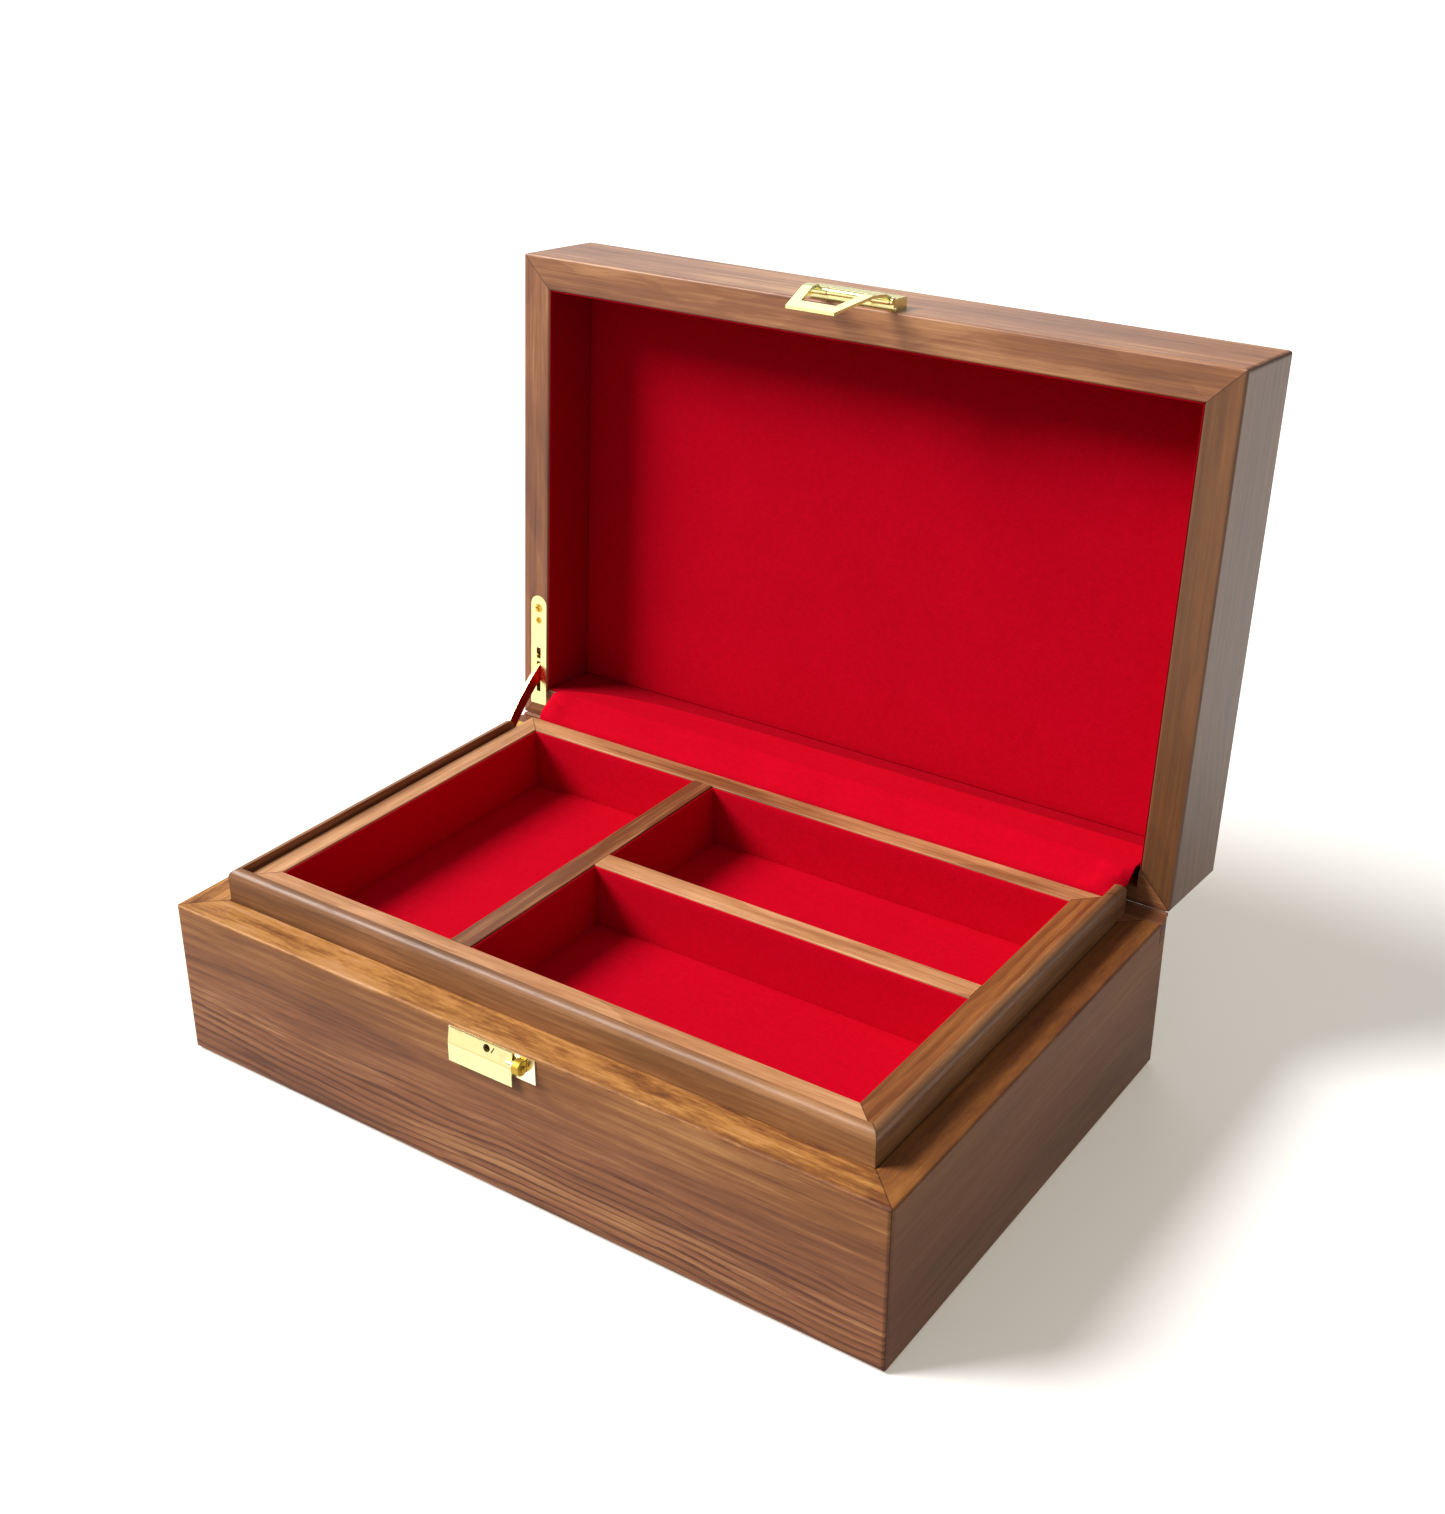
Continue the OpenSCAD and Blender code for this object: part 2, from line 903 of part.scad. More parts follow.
module brad_hole() {
    translate([0, 0, -1])
        cylinder(h = brad_len + 1 + slack, r = brad_r + fit);
}

module catch_backplate() {
    color(BRASS)
        difference() {
            union() {
                translate([-catch_w / 2, -half_d - catch_plate_t, catch_plate_low])
                    cube([catch_w, catch_plate_t, catch_plate_top - catch_plate_low]);
                catch_axis()
                    rod_between(catch_lug_l, catch_lug_r, catch_lug_round);
                translate([catch_lug_l, -half_d - catch_out, catch_z - catch_web_t / 2])
                    cube([catch_lug_r - catch_lug_l, catch_out - catch_plate_t / 2, catch_web_t]);
                brad_places(brad_z)
                    brad();
            }
            catch_axis()
                rod_x(big, catch_pin_r + fit);
            catch_screw_place()
                screw_hole(catch_screw_head_r, screw_r, screw_len);
            catch_hole(0);
            drum_recess();
        }
}

// The hollow that the back of the drum turns in.
module drum_recess() {
    catch_axis()
        rod_between(drum_l - drum_room, drum_end + drum_room, drum_r + drum_room);
}

module catch_screw_place() {
    translate([catch_screw_x, -half_d - catch_plate_t, catch_screw_z])
        rotate([90, 0, 0])
            children();
}

module catch_axis() {
    translate([0, -half_d - catch_out, catch_z])
        children();
}

// The round hole through the lever and the plate, ending at distance y in front of the middle.
module catch_hole(y) {
    translate([catch_hole_x, -y, catch_hole_z])
        rotate([90, 0, 0])
            cylinder(h = big, r = catch_hole_r);
}

// Side view of the lever: a flat plate with a slight crease, leaning back above it.
module lever_profile() {
    polygon([
        [-lever_front, -lever_down],
        [-lever_front, lever_bend_z],
        [-lever_front + lever_top_in, lever_up],
        [-lever_front + lever_top_in + lever_t, lever_up],
        [-lever_front + lever_t, lever_bend_z],
        [-lever_front + lever_t, -lever_down],
    ]);
}

// Half outline of a round bar of radius r and length len whose far rim is rounded.
module eased_half(r, len, edge) {
    square([r - edge, len]);
    square([r, len - edge]);
    translate([r - edge, len - edge])
        intersection() {
            circle(edge);
            square([edge, edge]);
        }
}

module catch_lever() {
    color(BRASS)
        difference() {
            union() {
                translate([(lever_left + lever_right) / 2, -half_d, catch_z])
                    rotate([90, 0, 90])
                        linear_extrude(lever_w, center = true)
                            lever_profile();
                catch_axis()
                    rod_between(lever_ear_l, lever_ear_r, lever_ear_round);
            }
            catch_axis()
                rod_between(lever_ear_l - 1, half_w, catch_pin_r + fit);
            catch_hole(0);
            translate([lever_slit_x, -half_d, catch_hole_z])
                rotate([0, lever_slit_turn, 0])
                    translate([-lever_slit_w / 2, -big, -lever_slit_len / 2])
                        cube([lever_slit_w, big, lever_slit_len]);
        }
}

// The pin ends in a drum with an eased rim and a small boss.
module catch_pin() {
    color(BRASS)
        catch_axis() {
            rod_between(catch_pin_l, drum_l + eps, catch_pin_r);
            translate([drum_l, 0, 0])
                rotate([0, 90, 0])
                    rotate_extrude() {
                        eased_half(drum_r, drum_end - drum_l, drum_edge);
                        eased_half(boss_r, boss_end - drum_l, boss_edge);
                    }
        }
}

module catch_screw() {
    color(BRASS)
        catch_screw_place()
            screw(catch_screw_head_r, screw_r, screw_len);
}

// ---- Clasp on the lid ----

module bail_axis() {
    translate([0, -half_d - bail_out, bail_z])
        children();
}

// A knuckle of the housing round the pin, with a web that joins it to the housing's body.
module clasp_knuckle(x0, x1) {
    bail_axis()
        rod_between(x0, x1, bail_barrel_r - slack);
    translate([x0, -half_d - bail_out - clasp_web_front, bail_z])
        cube([x1 - x0, bail_out + clasp_web_front - clasp_web_back, clasp_web_h]);
}

module clasp_housing() {
    middle = bail_knuckle_in - bail_knuckle_gap;
    color(BRASS)
        lid_open()
            difference() {
                union() {
                    translate([0, -half_d - clasp_out / 2, clasp_body_z])
                        soft_bar(clasp_w, clasp_out, clasp_body_h, clasp_edge_r);
                    translate([-clasp_w / 2, -half_d - clasp_back_t, clasp_body_z])
                        cube([clasp_w, clasp_back_t, clasp_body_h]);
                    clasp_knuckle(-clasp_w / 2, -clasp_cheek_in);
                    clasp_knuckle(-middle, middle);
                    clasp_knuckle(clasp_cheek_in, clasp_w / 2);
                    brad_places(clasp_body_z + clasp_body_h / 2)
                        brad();
                }
                bail_axis()
                    rod_x(big, bail_pin_r + fit);
            }
}

// Side view of the bail: x is the distance out from the face, y the distance from the pin.
module bail_profile() {
    bow = bail_out + bail_bow;
    polygon([
        [bail_out + bail_heel / 2, -bail_heel / 2], [bow, -bail_bow_from],
        [bow, -bail_step_from], [bail_tip_out, -bail_len], [bail_tip_out + bail_t, -bail_len],
        [bow + bail_t, -bail_step_from - bail_step_turn],
        [bow + bail_t, -bail_bow_from], [bail_out + bail_t, bail_heel]
    ]);
}

// Front view of the bail: two tapering side bars and a tip bar.
module bail_outline() {
    tip = bail_tip_w / 2;
    slope = (bail_root_half - tip) / bail_len;
    low = bail_len - bail_tip_bar;
    root = bail_root_half - bail_bar;
    difference() {
        polygon([
            [-bail_root_half, 0], [-tip, -bail_len], [tip, -bail_len], [bail_root_half, 0],
            [bail_root_half, bail_bar], [-bail_root_half, bail_bar]
        ]);
        polygon([
            [-root, bail_bar + 1], [-root, 0], [-root + slope * low, -low],
            [root - slope * low, -low], [root, 0], [root, bail_bar + 1]
        ]);
    }
}

module clasp_bail() {
    color(BRASS)
        lid_open()
            difference() {
                union() {
                    translate([0, -half_d, bail_z])
                        intersection() {
                            rotate([90, 0, 0])
                                linear_extrude(bail_len)
                                    bail_outline();
                            rotate([90, 0, -90])
                                linear_extrude(clasp_w, center = true)
                                    bail_profile();
                        }
                    for (s = [-1, 1])
                        bail_axis()
                            rod_between(min(s * bail_knuckle_in, s * bail_root_half),
                                        max(s * bail_knuckle_in, s * bail_root_half),
                                        bail_barrel_r);
                }
                bail_axis()
                    rod_x(big, bail_pin_r + fit);
            }
}

module clasp_pin() {
    color(BRASS)
        lid_open()
            bail_axis()
                rod_x(clasp_w, bail_pin_r);
}

// ---- Lid ----

// squared is how far the lower outer edge is left square instead of rounded.
module lid_rail(side, squared = 0) {
    color(WALNUT)
        lid_open()
            difference() {
                union() {
                    translate([0, 0, rim_z])
                        ring_side(box_w, box_d, lid_h, rail_t, side, edge_r, corner_r);
                    if (squared > 0)
                        translate([-half_w + corner_r, half_d - squared, rim_z])
                            cube([box_w - 2 * corner_r, squared, squared]);
                }
                translate([0, 0, lid_top - panel_t - fit])
                    linear_extrude(panel_t + 1)
                        square([box_w - 2 * (rail_t - rebate), box_d - 2 * (rail_t - rebate)],
                               center = true);
                children();
            }
}

module lid_front_rail() {
    lid_rail(0)
        brad_places(clasp_body_z + clasp_body_h / 2)
            brad_hole();
}

module lid_right_rail() {
    lid_rail(1);
}

module lid_back_rail() {
    lid_rail(2, 2 * edge_r) {
        hinge_barrel_room();
        hinge_leaf_room(rim_z);
        at_hinge_screws()
            translate([0, 0, rim_z])
                rotate([180, 0, 0])
                    screw_hole(screw_head_r, screw_r, screw_len);
        stay_leaf_room();
        stay_mortise(1);
        lip_pocket();
    }
}

module lid_left_rail() {
    lid_rail(3) {
        stay_leaf_room();
        stay_mortise(1);
    }
}

module lid_top_panel() {
    color(WALNUT)
        lid_open()
            translate([0, 0, lid_top - panel_t])
                linear_extrude(panel_t - 0.1)
                    square([box_w - 2 * (rail_t - rebate) - slack,
                            box_d - 2 * (rail_t - rebate) - slack], center = true);
}

module lid_lining_board() {
    color(PLYWOOD)
        lid_open()
            translate([0, 0, board_z])
                linear_extrude(board_t)
                    square([2 * lining_x - slack, 2 * lining_y - slack], center = true);
}

module lid_pad() {
    color(VELVET)
        lid_open()
            translate([0, 0, pad_z])
                intersection() {
                    soft_bar(2 * (lining_x - slack), 2 * (lining_y - slack), pad_t, pad_edge_r);
                    rotate([0, 0, 90])
                        soft_bar(2 * (lining_y - slack), 2 * (lining_x - slack), pad_t,
                                 pad_edge_r);
                }
}

module lid_side_lining() {
    color(VELVET)
        lid_open()
            difference() {
                translate([0, 0, rim_z + velvet_rim])
                    linear_extrude(board_z + board_t - rim_z - velvet_rim - slack)
                        difference() {
                            square([2 * (lining_x + lining_t), 2 * (lining_y + lining_t)],
                                   center = true);
                            square([2 * lining_x, 2 * lining_y], center = true);
                        }
                lip_pocket();
            }
}

// ---- Tray ----

module tray_rail(side) {
    color(WALNUT_PALE)
        difference() {
            translate([0, tray_mid_y, tray_base])
                ring_side(2 * tray_x, tray_d, tray_h, tray_t, side, tray_edge_r, tray_corner_r);
            tray_board_room(0);
        }
}

// The bottom board's space in the rails' grooves, made smaller all round by less.
module tray_board_room(less) {
    edge = tray_groove - less;
    translate([-tray_in_x - edge, tray_in_front - edge, tray_base - (less == 0 ? 1 : 0)])
        cube([2 * (tray_in_x + edge), tray_in_back - tray_in_front + 2 * edge,
              tray_board_t + (less == 0 ? 1 : 0)]);
}

module tray_front_rail() {
    tray_rail(0);
}

module tray_right_rail() {
    tray_rail(1);
}

module tray_back_rail() {
    tray_rail(2);
}

module tray_left_rail() {
    tray_rail(3);
}

// A divider stands on the bottom board and ends flush with the rails' top.
module divider_bar(len) {
    translate([0, 0, tray_floor_z])
        soft_bar(len, tray_t, tray_top - tray_floor_z, tray_edge_r);
}

module tray_main_divider() {
    color(WALNUT_PALE)
        translate([main_x, (tray_in_front + tray_in_back) / 2, 0])
            rotate([0, 0, 90])
                divider_bar(tray_in_back - tray_in_front);
}

module tray_cross_divider() {
    x0 = main_x + tray_t / 2;
    color(WALNUT_PALE)
        translate([(x0 + tray_in_x) / 2, cross_y, 0])
            divider_bar(tray_in_x - x0);
}

module tray_bottom_board() {
    color(PLYWOOD)
        tray_board_room(fit);
}

// A velvet cup that lines one compartment.
module velvet_cup(x0, x1, y0, y1) {
    z0 = tray_floor_z;
    color(VELVET)
        difference() {
            translate([x0, y0, z0])
                cube([x1 - x0, y1 - y0, tray_top - velvet_drop - z0]);
            translate([x0 + velvet_t, y0 + velvet_t, z0 + velvet_floor_t])
                cube([x1 - x0 - 2 * velvet_t, y1 - y0 - 2 * velvet_t, tray_h]);
        }
}

module lining_left() {
    velvet_cup(-tray_in_x, main_x - tray_t / 2, tray_in_front, tray_in_back);
}

module lining_front() {
    velvet_cup(main_x + tray_t / 2, tray_in_x, tray_in_front, cross_y - tray_t / 2);
}

module lining_rear() {
    velvet_cup(main_x + tray_t / 2, tray_in_x, cross_y + tray_t / 2, tray_in_back);
}

// The flap rises behind the tray and runs over the edge of the open lid's back rail.
module velvet_flap() {
    color(VELVET)
        translate([-flap_x, 0, 0])
            rotate([90, 0, 90])
                linear_extrude(2 * flap_x)
                    polygon(concat(flap_line, [
                        for (i = [len(flap_line) - 1:-1:0]) flap_line[i] + flap_t * flap_under[i]
                    ]));
}

base_front_wall();
base_right_wall();
base_back_wall();
base_left_wall();
base_floor();
base_felt();
hinge_batten();
lip_front();
lip_right();
lip_left();
well_floor_pad();
well_side_lining();
tray_rests();
hinge_base_leaf_left();
hinge_base_leaf_right();
hinge_lid_leaf_left();
hinge_lid_leaf_right();
hinge_pin_left();
hinge_pin_right();
hinge_base_screws();
hinge_lid_screws();
stay_plate();
stay_plate_screw();
stay_arm();
stay_leaf();
stay_leaf_screws();
catch_backplate();
catch_lever();
catch_pin();
catch_screw();
clasp_housing();
clasp_bail();
clasp_pin();
lid_front_rail();
lid_right_rail();
lid_back_rail();
lid_left_rail();
lid_top_panel();
lid_lining_board();
lid_pad();
lid_side_lining();
tray_front_rail();
tray_right_rail();
tray_back_rail();
tray_left_rail();
tray_main_divider();
tray_cross_divider();
tray_bottom_board();
lining_left();
lining_front();
lining_rear();
velvet_flap();
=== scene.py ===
"""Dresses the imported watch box: walnut boards, padded velvet, polished brass and a studio to see it in."""

import json
import logging
import math
from dataclasses import dataclass, field, replace
from enum import Enum
from typing import Any, Iterable, Sequence, Union

import bmesh
import bpy
from mathutils import Matrix, Vector

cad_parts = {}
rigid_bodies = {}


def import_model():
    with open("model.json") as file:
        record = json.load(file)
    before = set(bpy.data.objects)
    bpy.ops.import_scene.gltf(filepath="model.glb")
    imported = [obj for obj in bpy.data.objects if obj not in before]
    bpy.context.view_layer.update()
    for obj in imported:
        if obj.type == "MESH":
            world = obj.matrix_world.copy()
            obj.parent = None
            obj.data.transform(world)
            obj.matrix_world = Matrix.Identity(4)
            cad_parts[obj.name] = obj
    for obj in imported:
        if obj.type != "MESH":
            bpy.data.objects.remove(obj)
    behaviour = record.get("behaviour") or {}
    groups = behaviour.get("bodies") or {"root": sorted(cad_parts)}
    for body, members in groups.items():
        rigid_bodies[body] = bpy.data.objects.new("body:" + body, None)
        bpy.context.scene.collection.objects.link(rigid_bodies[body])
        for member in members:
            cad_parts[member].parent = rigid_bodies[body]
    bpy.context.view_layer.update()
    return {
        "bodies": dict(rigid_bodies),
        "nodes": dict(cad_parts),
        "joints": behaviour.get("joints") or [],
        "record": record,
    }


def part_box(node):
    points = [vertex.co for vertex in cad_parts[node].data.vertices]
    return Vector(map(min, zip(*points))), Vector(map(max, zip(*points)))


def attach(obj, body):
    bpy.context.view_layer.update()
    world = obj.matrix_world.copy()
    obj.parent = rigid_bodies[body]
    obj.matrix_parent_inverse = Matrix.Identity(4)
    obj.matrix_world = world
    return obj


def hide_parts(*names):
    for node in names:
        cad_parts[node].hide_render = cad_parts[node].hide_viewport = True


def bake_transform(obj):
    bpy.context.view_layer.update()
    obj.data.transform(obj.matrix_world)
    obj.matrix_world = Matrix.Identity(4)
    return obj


LOG = logging.getLogger("watch_box")
MM = 0.001
TO_MM = 1000
Number = Union[int, float]
Colour = tuple[float, float, float]
Point = tuple[float, float, float]

# The lid stands open at this angle about the hinge line. The line's place is in metres, and how
# far it lies behind the middle of the box is given in millimetres too.
LID_ANGLE = math.radians(94)
HINGE = Vector((0, 0.099, 0.0626))
HINGE_BACK_MM = 99.0
# Which way the lid's front and its top face, as it stands open.
LID_FORWARD = Vector((0, -math.cos(LID_ANGLE), math.sin(LID_ANGLE)))
LID_UP = Vector((0, math.sin(LID_ANGLE), math.cos(LID_ANGLE)))
# A point on the inner face of the open lid's back rail, in millimetres.
LID_RAIL_FACE = Vector((0, 100.05, 77.56))
# The height at which the catch lever bends, in millimetres.
LEVER_FOLD_MM = 55.8


# ---- Node graphs ----


class Sock:
    """One value in a node graph. Python operators on it add Math nodes."""

    def __init__(self, graph: "Graph", socket: bpy.types.NodeSocket) -> None:
        """Keeps the graph and the output socket that carries the value."""
        self.graph = graph
        self.socket = socket

    def math(self, operation: str, *others: "Operand") -> "Sock":
        """Adds one Math node.

        Args:
            operation: The node's operation.
            others: The second and third values.

        Returns:
            The node's result.
        """
        inputs = dict(enumerate((self, *others)))
        return self.graph.add("ShaderNodeMath", {"operation": operation}, inputs)

    def __add__(self, other: "Operand") -> "Sock":
        """self + other."""
        return self.math("ADD", other)

    __radd__ = __add__

    def __mul__(self, other: "Operand") -> "Sock":
        """self * other."""
        return self.math("MULTIPLY", other)

    __rmul__ = __mul__

    def __sub__(self, other: "Operand") -> "Sock":
        """self - other."""
        return self.math("SUBTRACT", other)

    def __rsub__(self, other: Number) -> "Sock":
        """other - self."""
        return self.graph.value(other).math("SUBTRACT", self)

    def __truediv__(self, other: "Operand") -> "Sock":
        """self / other."""
        return self.math("DIVIDE", other)

    def __pow__(self, other: "Operand") -> "Sock":
        """self to the power of other."""
        return self.math("POWER", other)

    def __abs__(self) -> "Sock":
        """The value without its sign."""
        return self.math("ABSOLUTE")

    def ramped(self, low: Number, high: Number) -> "Sock":
        """Steps smoothly from 0 to 1.

        Args:
            low: The value up to which the step is 0.
            high: The value from which the step is 1.

        Returns:
            The step.
        """
        settings = {"interpolation_type": "SMOOTHSTEP"}
        inputs = {"Value": self, "From Min": low, "From Max": high}
        return self.graph.add("ShaderNodeMapRange", settings, inputs)


Operand = Union[Sock, Number]


class Graph:
    """A node tree that is being built."""

    def __init__(self, tree: bpy.types.NodeTree) -> None:
        """Starts on a tree with no nodes."""
        self.tree = tree
        tree.nodes.clear()

    def node(
        self, kind: str, settings: dict[str, Any] | None = None, inputs: dict[Any, Any] | None = None
    ) -> bpy.types.Node:
        """Adds any node.

        Args:
            kind: The node's type name.
            settings: Its properties, set before its sockets. "stops" gives a colour ramp's stops.
            inputs: Values or links, by socket name or number.

        Returns:
            The node.
        """
        made = self.tree.nodes.new(kind)
        for name, value in (settings or {}).items():
            if name == "stops":
                ramp = made.color_ramp
                while len(ramp.elements) > 1:
                    ramp.elements.remove(ramp.elements[-1])
                ramp.elements[0].position, ramp.elements[0].color = value[0][0], (*value[0][1], 1)
                for place, colour in value[1:]:
                    ramp.elements.new(place).color = (*colour, 1)
            else:
                setattr(made, name, value)
        for name, value in (inputs or {}).items():
            target = made.inputs[name]
            if isinstance(value, Sock):
                self.tree.links.new(value.socket, target)
            elif isinstance(value, bpy.types.NodeSocket):
                self.tree.links.new(value, target)
            else:
                target.default_value = value
        return made

    def add(
        self,
        kind: str,
        settings: dict[str, Any] | None = None,
        inputs: dict[Any, Any] | None = None,
        output: Union[int, str] = 0,
    ) -> Sock:
        """Adds any node and returns one of its outputs."""
        return Sock(self, self.node(kind, settings, inputs).outputs[output])

    def value(self, number: Number) -> Sock:
        """Adds a node that holds a number.

        Args:
            number: The number.

        Returns:
            The node's value.
        """
        made = self.tree.nodes.new("ShaderNodeValue")
        made.outputs[0].default_value = number
        return Sock(self, made.outputs[0])

    def vector(self, x: Operand, y: Operand, z: Operand) -> Sock:
        """A vector of three values."""
        return self.add("ShaderNodeCombineXYZ", None, {0: x, 1: y, 2: z})

    def noise(self, place: Sock, scale: Number, detail: Number = 2, rough: Number = 0.5) -> Sock:
        """Noise from 0 to 1 at a place."""
        inputs = {"Vector": place, "Scale": scale, "Detail": detail, "Roughness": rough}
        return self.add("ShaderNodeTexNoise", None, inputs, "Fac")

    def mix(self, share: Operand, first: Union[Sock, Colour], second: Union[Sock, Colour]) -> Sock:
        """A colour between two colours."""
        ends = [c if isinstance(c, Sock) else (*c, 1) for c in (first, second)]
        return self.add("ShaderNodeMix", {"data_type": "RGBA"}, {0: share, 6: ends[0], 7: ends[1]}, 2)

    def ramp(self, share: Sock, stops: Sequence[tuple[float, Colour]]) -> Sock:
        """A colour from a ramp of stops."""
        return self.add("ShaderNodeValToRGB", {"stops": stops}, {"Fac": share})

    def bump(self, height: Sock, distance: float, strength: float = 1.0) -> Sock:
        """A normal from a height, with the distance that a height of 1 stands for, in metres."""
        inputs = {"Height": height, "Distance": distance, "Strength": strength}
        return self.add("ShaderNodeBump", None, inputs)

    def along(self, place: Sock, axis: Vector) -> Sock:
        """The distance of a place along an axis, in millimetres."""
        inputs = {0: place, 1: axis * TO_MM}
        return self.add("ShaderNodeVectorMath", {"operation": "DOT_PRODUCT"}, inputs, "Value")


# ---- Finishes ----


def new_material(name: str) -> tuple[bpy.types.Material, Graph, bpy.types.Node, Sock]:
    """Starts a material.

    Args:
        name: The material's name.

    Returns:
        The material, its graph, its Principled shader and the place on the object in metres.
    """
    material = bpy.data.materials.new(name)
    material.use_nodes = True
    graph = Graph(material.node_tree)
    shader = graph.node("ShaderNodeBsdfPrincipled")
    graph.node("ShaderNodeOutputMaterial", None, {"Surface": shader.outputs[0]})
    place = graph.add("ShaderNodeTexCoord", output="Object")
    return material, graph, shader, place


def feed(graph: Graph, shader: bpy.types.Node, **sockets: Any) -> None:
    """Sets or links the shader's sockets.

    Args:
        graph: The material's graph.
        shader: The shader.
        sockets: The values or links, by socket name with underscores for spaces.
    """
    for name, value in sockets.items():
        target = shader.inputs[name.replace("_", " ")]
        if isinstance(value, Sock):
            graph.tree.links.new(value.socket, target)
        else:
            target.default_value = value


@dataclass(frozen=True)
class Frame:
    """A mitred frame of boards, with what is needed to find its corner joints.

    The first field is its direction from front to back. The shift centres it that way, and the
    excess is how much longer half its length is than half its depth.
    """

    back: Point
    shift_mm: float
    excess_mm: float


class Carcass(Enum):
    """The mitred frames of the box."""

    BASE = Frame((0, 1, 0), 0.0, 52.0)
    LID = Frame(tuple(-LID_FORWARD), LID_FORWARD.dot(HINGE) * TO_MM + HINGE_BACK_MM, 52.0)
    TRAY = Frame((0, 1, 0), -1.7, 50.1)


@dataclass(frozen=True)
class Layer:
    """One layer of noise in walnut: its cells per millimetre along, up and into a board."""

    along: float
    up: float
    deep: float
    detail: float = 2.0
    rough: float = 0.5
    shift: float = 0.0


class Figure(Enum):
    """The layers of noise that walnut is made of."""

    DRIFT = Layer(0.006, 0.02, 0.02)
    WAVE = Layer(0.03, 0.05, 0.05)
    RUN_OUT = Layer(0.0035, 0.004, 0.004, 1.0, shift=7.0)
    STREAK = Layer(0.011, 0.5, 0.5, 5.0, 0.62)
    FIBRE = Layer(0.05, 2.6, 2.6, 5.0, 0.62)
    PORE = Layer(0.12, 4.2, 4.2)
    BROAD = Layer(0.008, 0.055, 0.055, 3.0, 0.6)
    CLOUD = Layer(0.02, 0.13, 0.13, 4.0, 0.65, 31.0)
    SWIRL = Layer(0.028, 0.1, 0.16, 5.0, 0.66)
    FLECK = Layer(0.16, 0.6, 0.9, 4.0, 0.7)


@dataclass(frozen=True)
class Crest:
    """Paler golden colour above a height on a board, whose lower edge is soft and wanders. It is partly the
    wood's own paler upper band and partly painted light on the tops of the walls; on the base's right wall it
    paints shade, darker towards the bottom.
    """

    height_mm: float
    paler: float = 0.24
    soft_mm: float = 7.0
    wander_mm: float = 16.0


@dataclass(frozen=True)
class Ledge:
    """The top edge of a wall, where the grain swirls instead of running straight. Its paler tone on the top
    face is partly painted light, as that face turns up to the lamp.

    It can grow darker away from its heart, a place along the wall, by so much in 100 mm. It fades
    in between two depths below its height.
    """

    height_mm: float
    paler: float = 0.14
    heart_mm: float = 0.0
    darker: float = 0.0
    fade_mm: tuple[float, float] = (1.6, 0.3)


@dataclass(frozen=True)
class Board:
    """How one board was cut.

    Its first fields are the direction of its grain, its way up and where the heart of its log
    lies, up and into the board. Its seed sets its figure apart from that of other boards.
    """

    along: Point
    up: Point
    heart_up_mm: float
    heart_deep_mm: float
    seed: float
    carcass: Carcass | None = None
    fine_lines: float = 0.0
    # A tone offset: on most boards it is the wood's own darkness, but on the base's right wall, the lid's
    # right and back rails and the hinge batten it is painted shade.
    shade: float = 0.0
    figure: float = 1.0
    crest: Crest | None = None
    ledge: Ledge | None = None


class Timber:
    """The wood of one board at each point: the place on the board, and its layers of noise."""

    SEED_STEP_MM = 613.0

    def __init__(self, graph: Graph, place: Sock, board: Board) -> None:
        """Works out the places and the layers that every board has.

        Args:
            graph: The material's graph.
            place: The place on the object in metres.
            board: How the board was cut.
        """
        self.graph = graph
        along, up = Vector(board.along), Vector(board.up)
        self.along = graph.along(place, along)
        self.up = graph.along(place, up)
        self.deep = graph.along(place, along.cross(up))
        self.seeded = self.along + board.seed * self.SEED_STEP_MM
        self.drift = self.noise(Figure.DRIFT) - 0.5
        self.wave = self.noise(Figure.WAVE) - 0.5
        self.run_out = self.noise(Figure.RUN_OUT) - 0.5
        self.streak = self.noise(Figure.STREAK)
        self.fibre = self.noise(Figure.FIBRE)
        self.pore = self.noise(Figure.PORE).ramped(0.6, 0.72)
        self.broad = self.noise(Figure.BROAD) - 0.5
        self.cloud = self.noise(Figure.CLOUD) - 0.5

    def noise(self, figure: Figure, push: Operand = 0.0) -> Sock:
        """Adds one layer of noise.

        Args:
            figure: The layer.
            push: How far the layer is pushed along the grain, in cells.

        Returns:
            The noise, from 0 to 1.
        """
        layer = figure.value
        along = self.seeded * layer.along + (push + layer.shift)
        place = self.graph.vector(along, self.up * layer.up, self.deep * layer.deep)
        return self.graph.noise(place, 1.0, layer.detail, layer.rough)


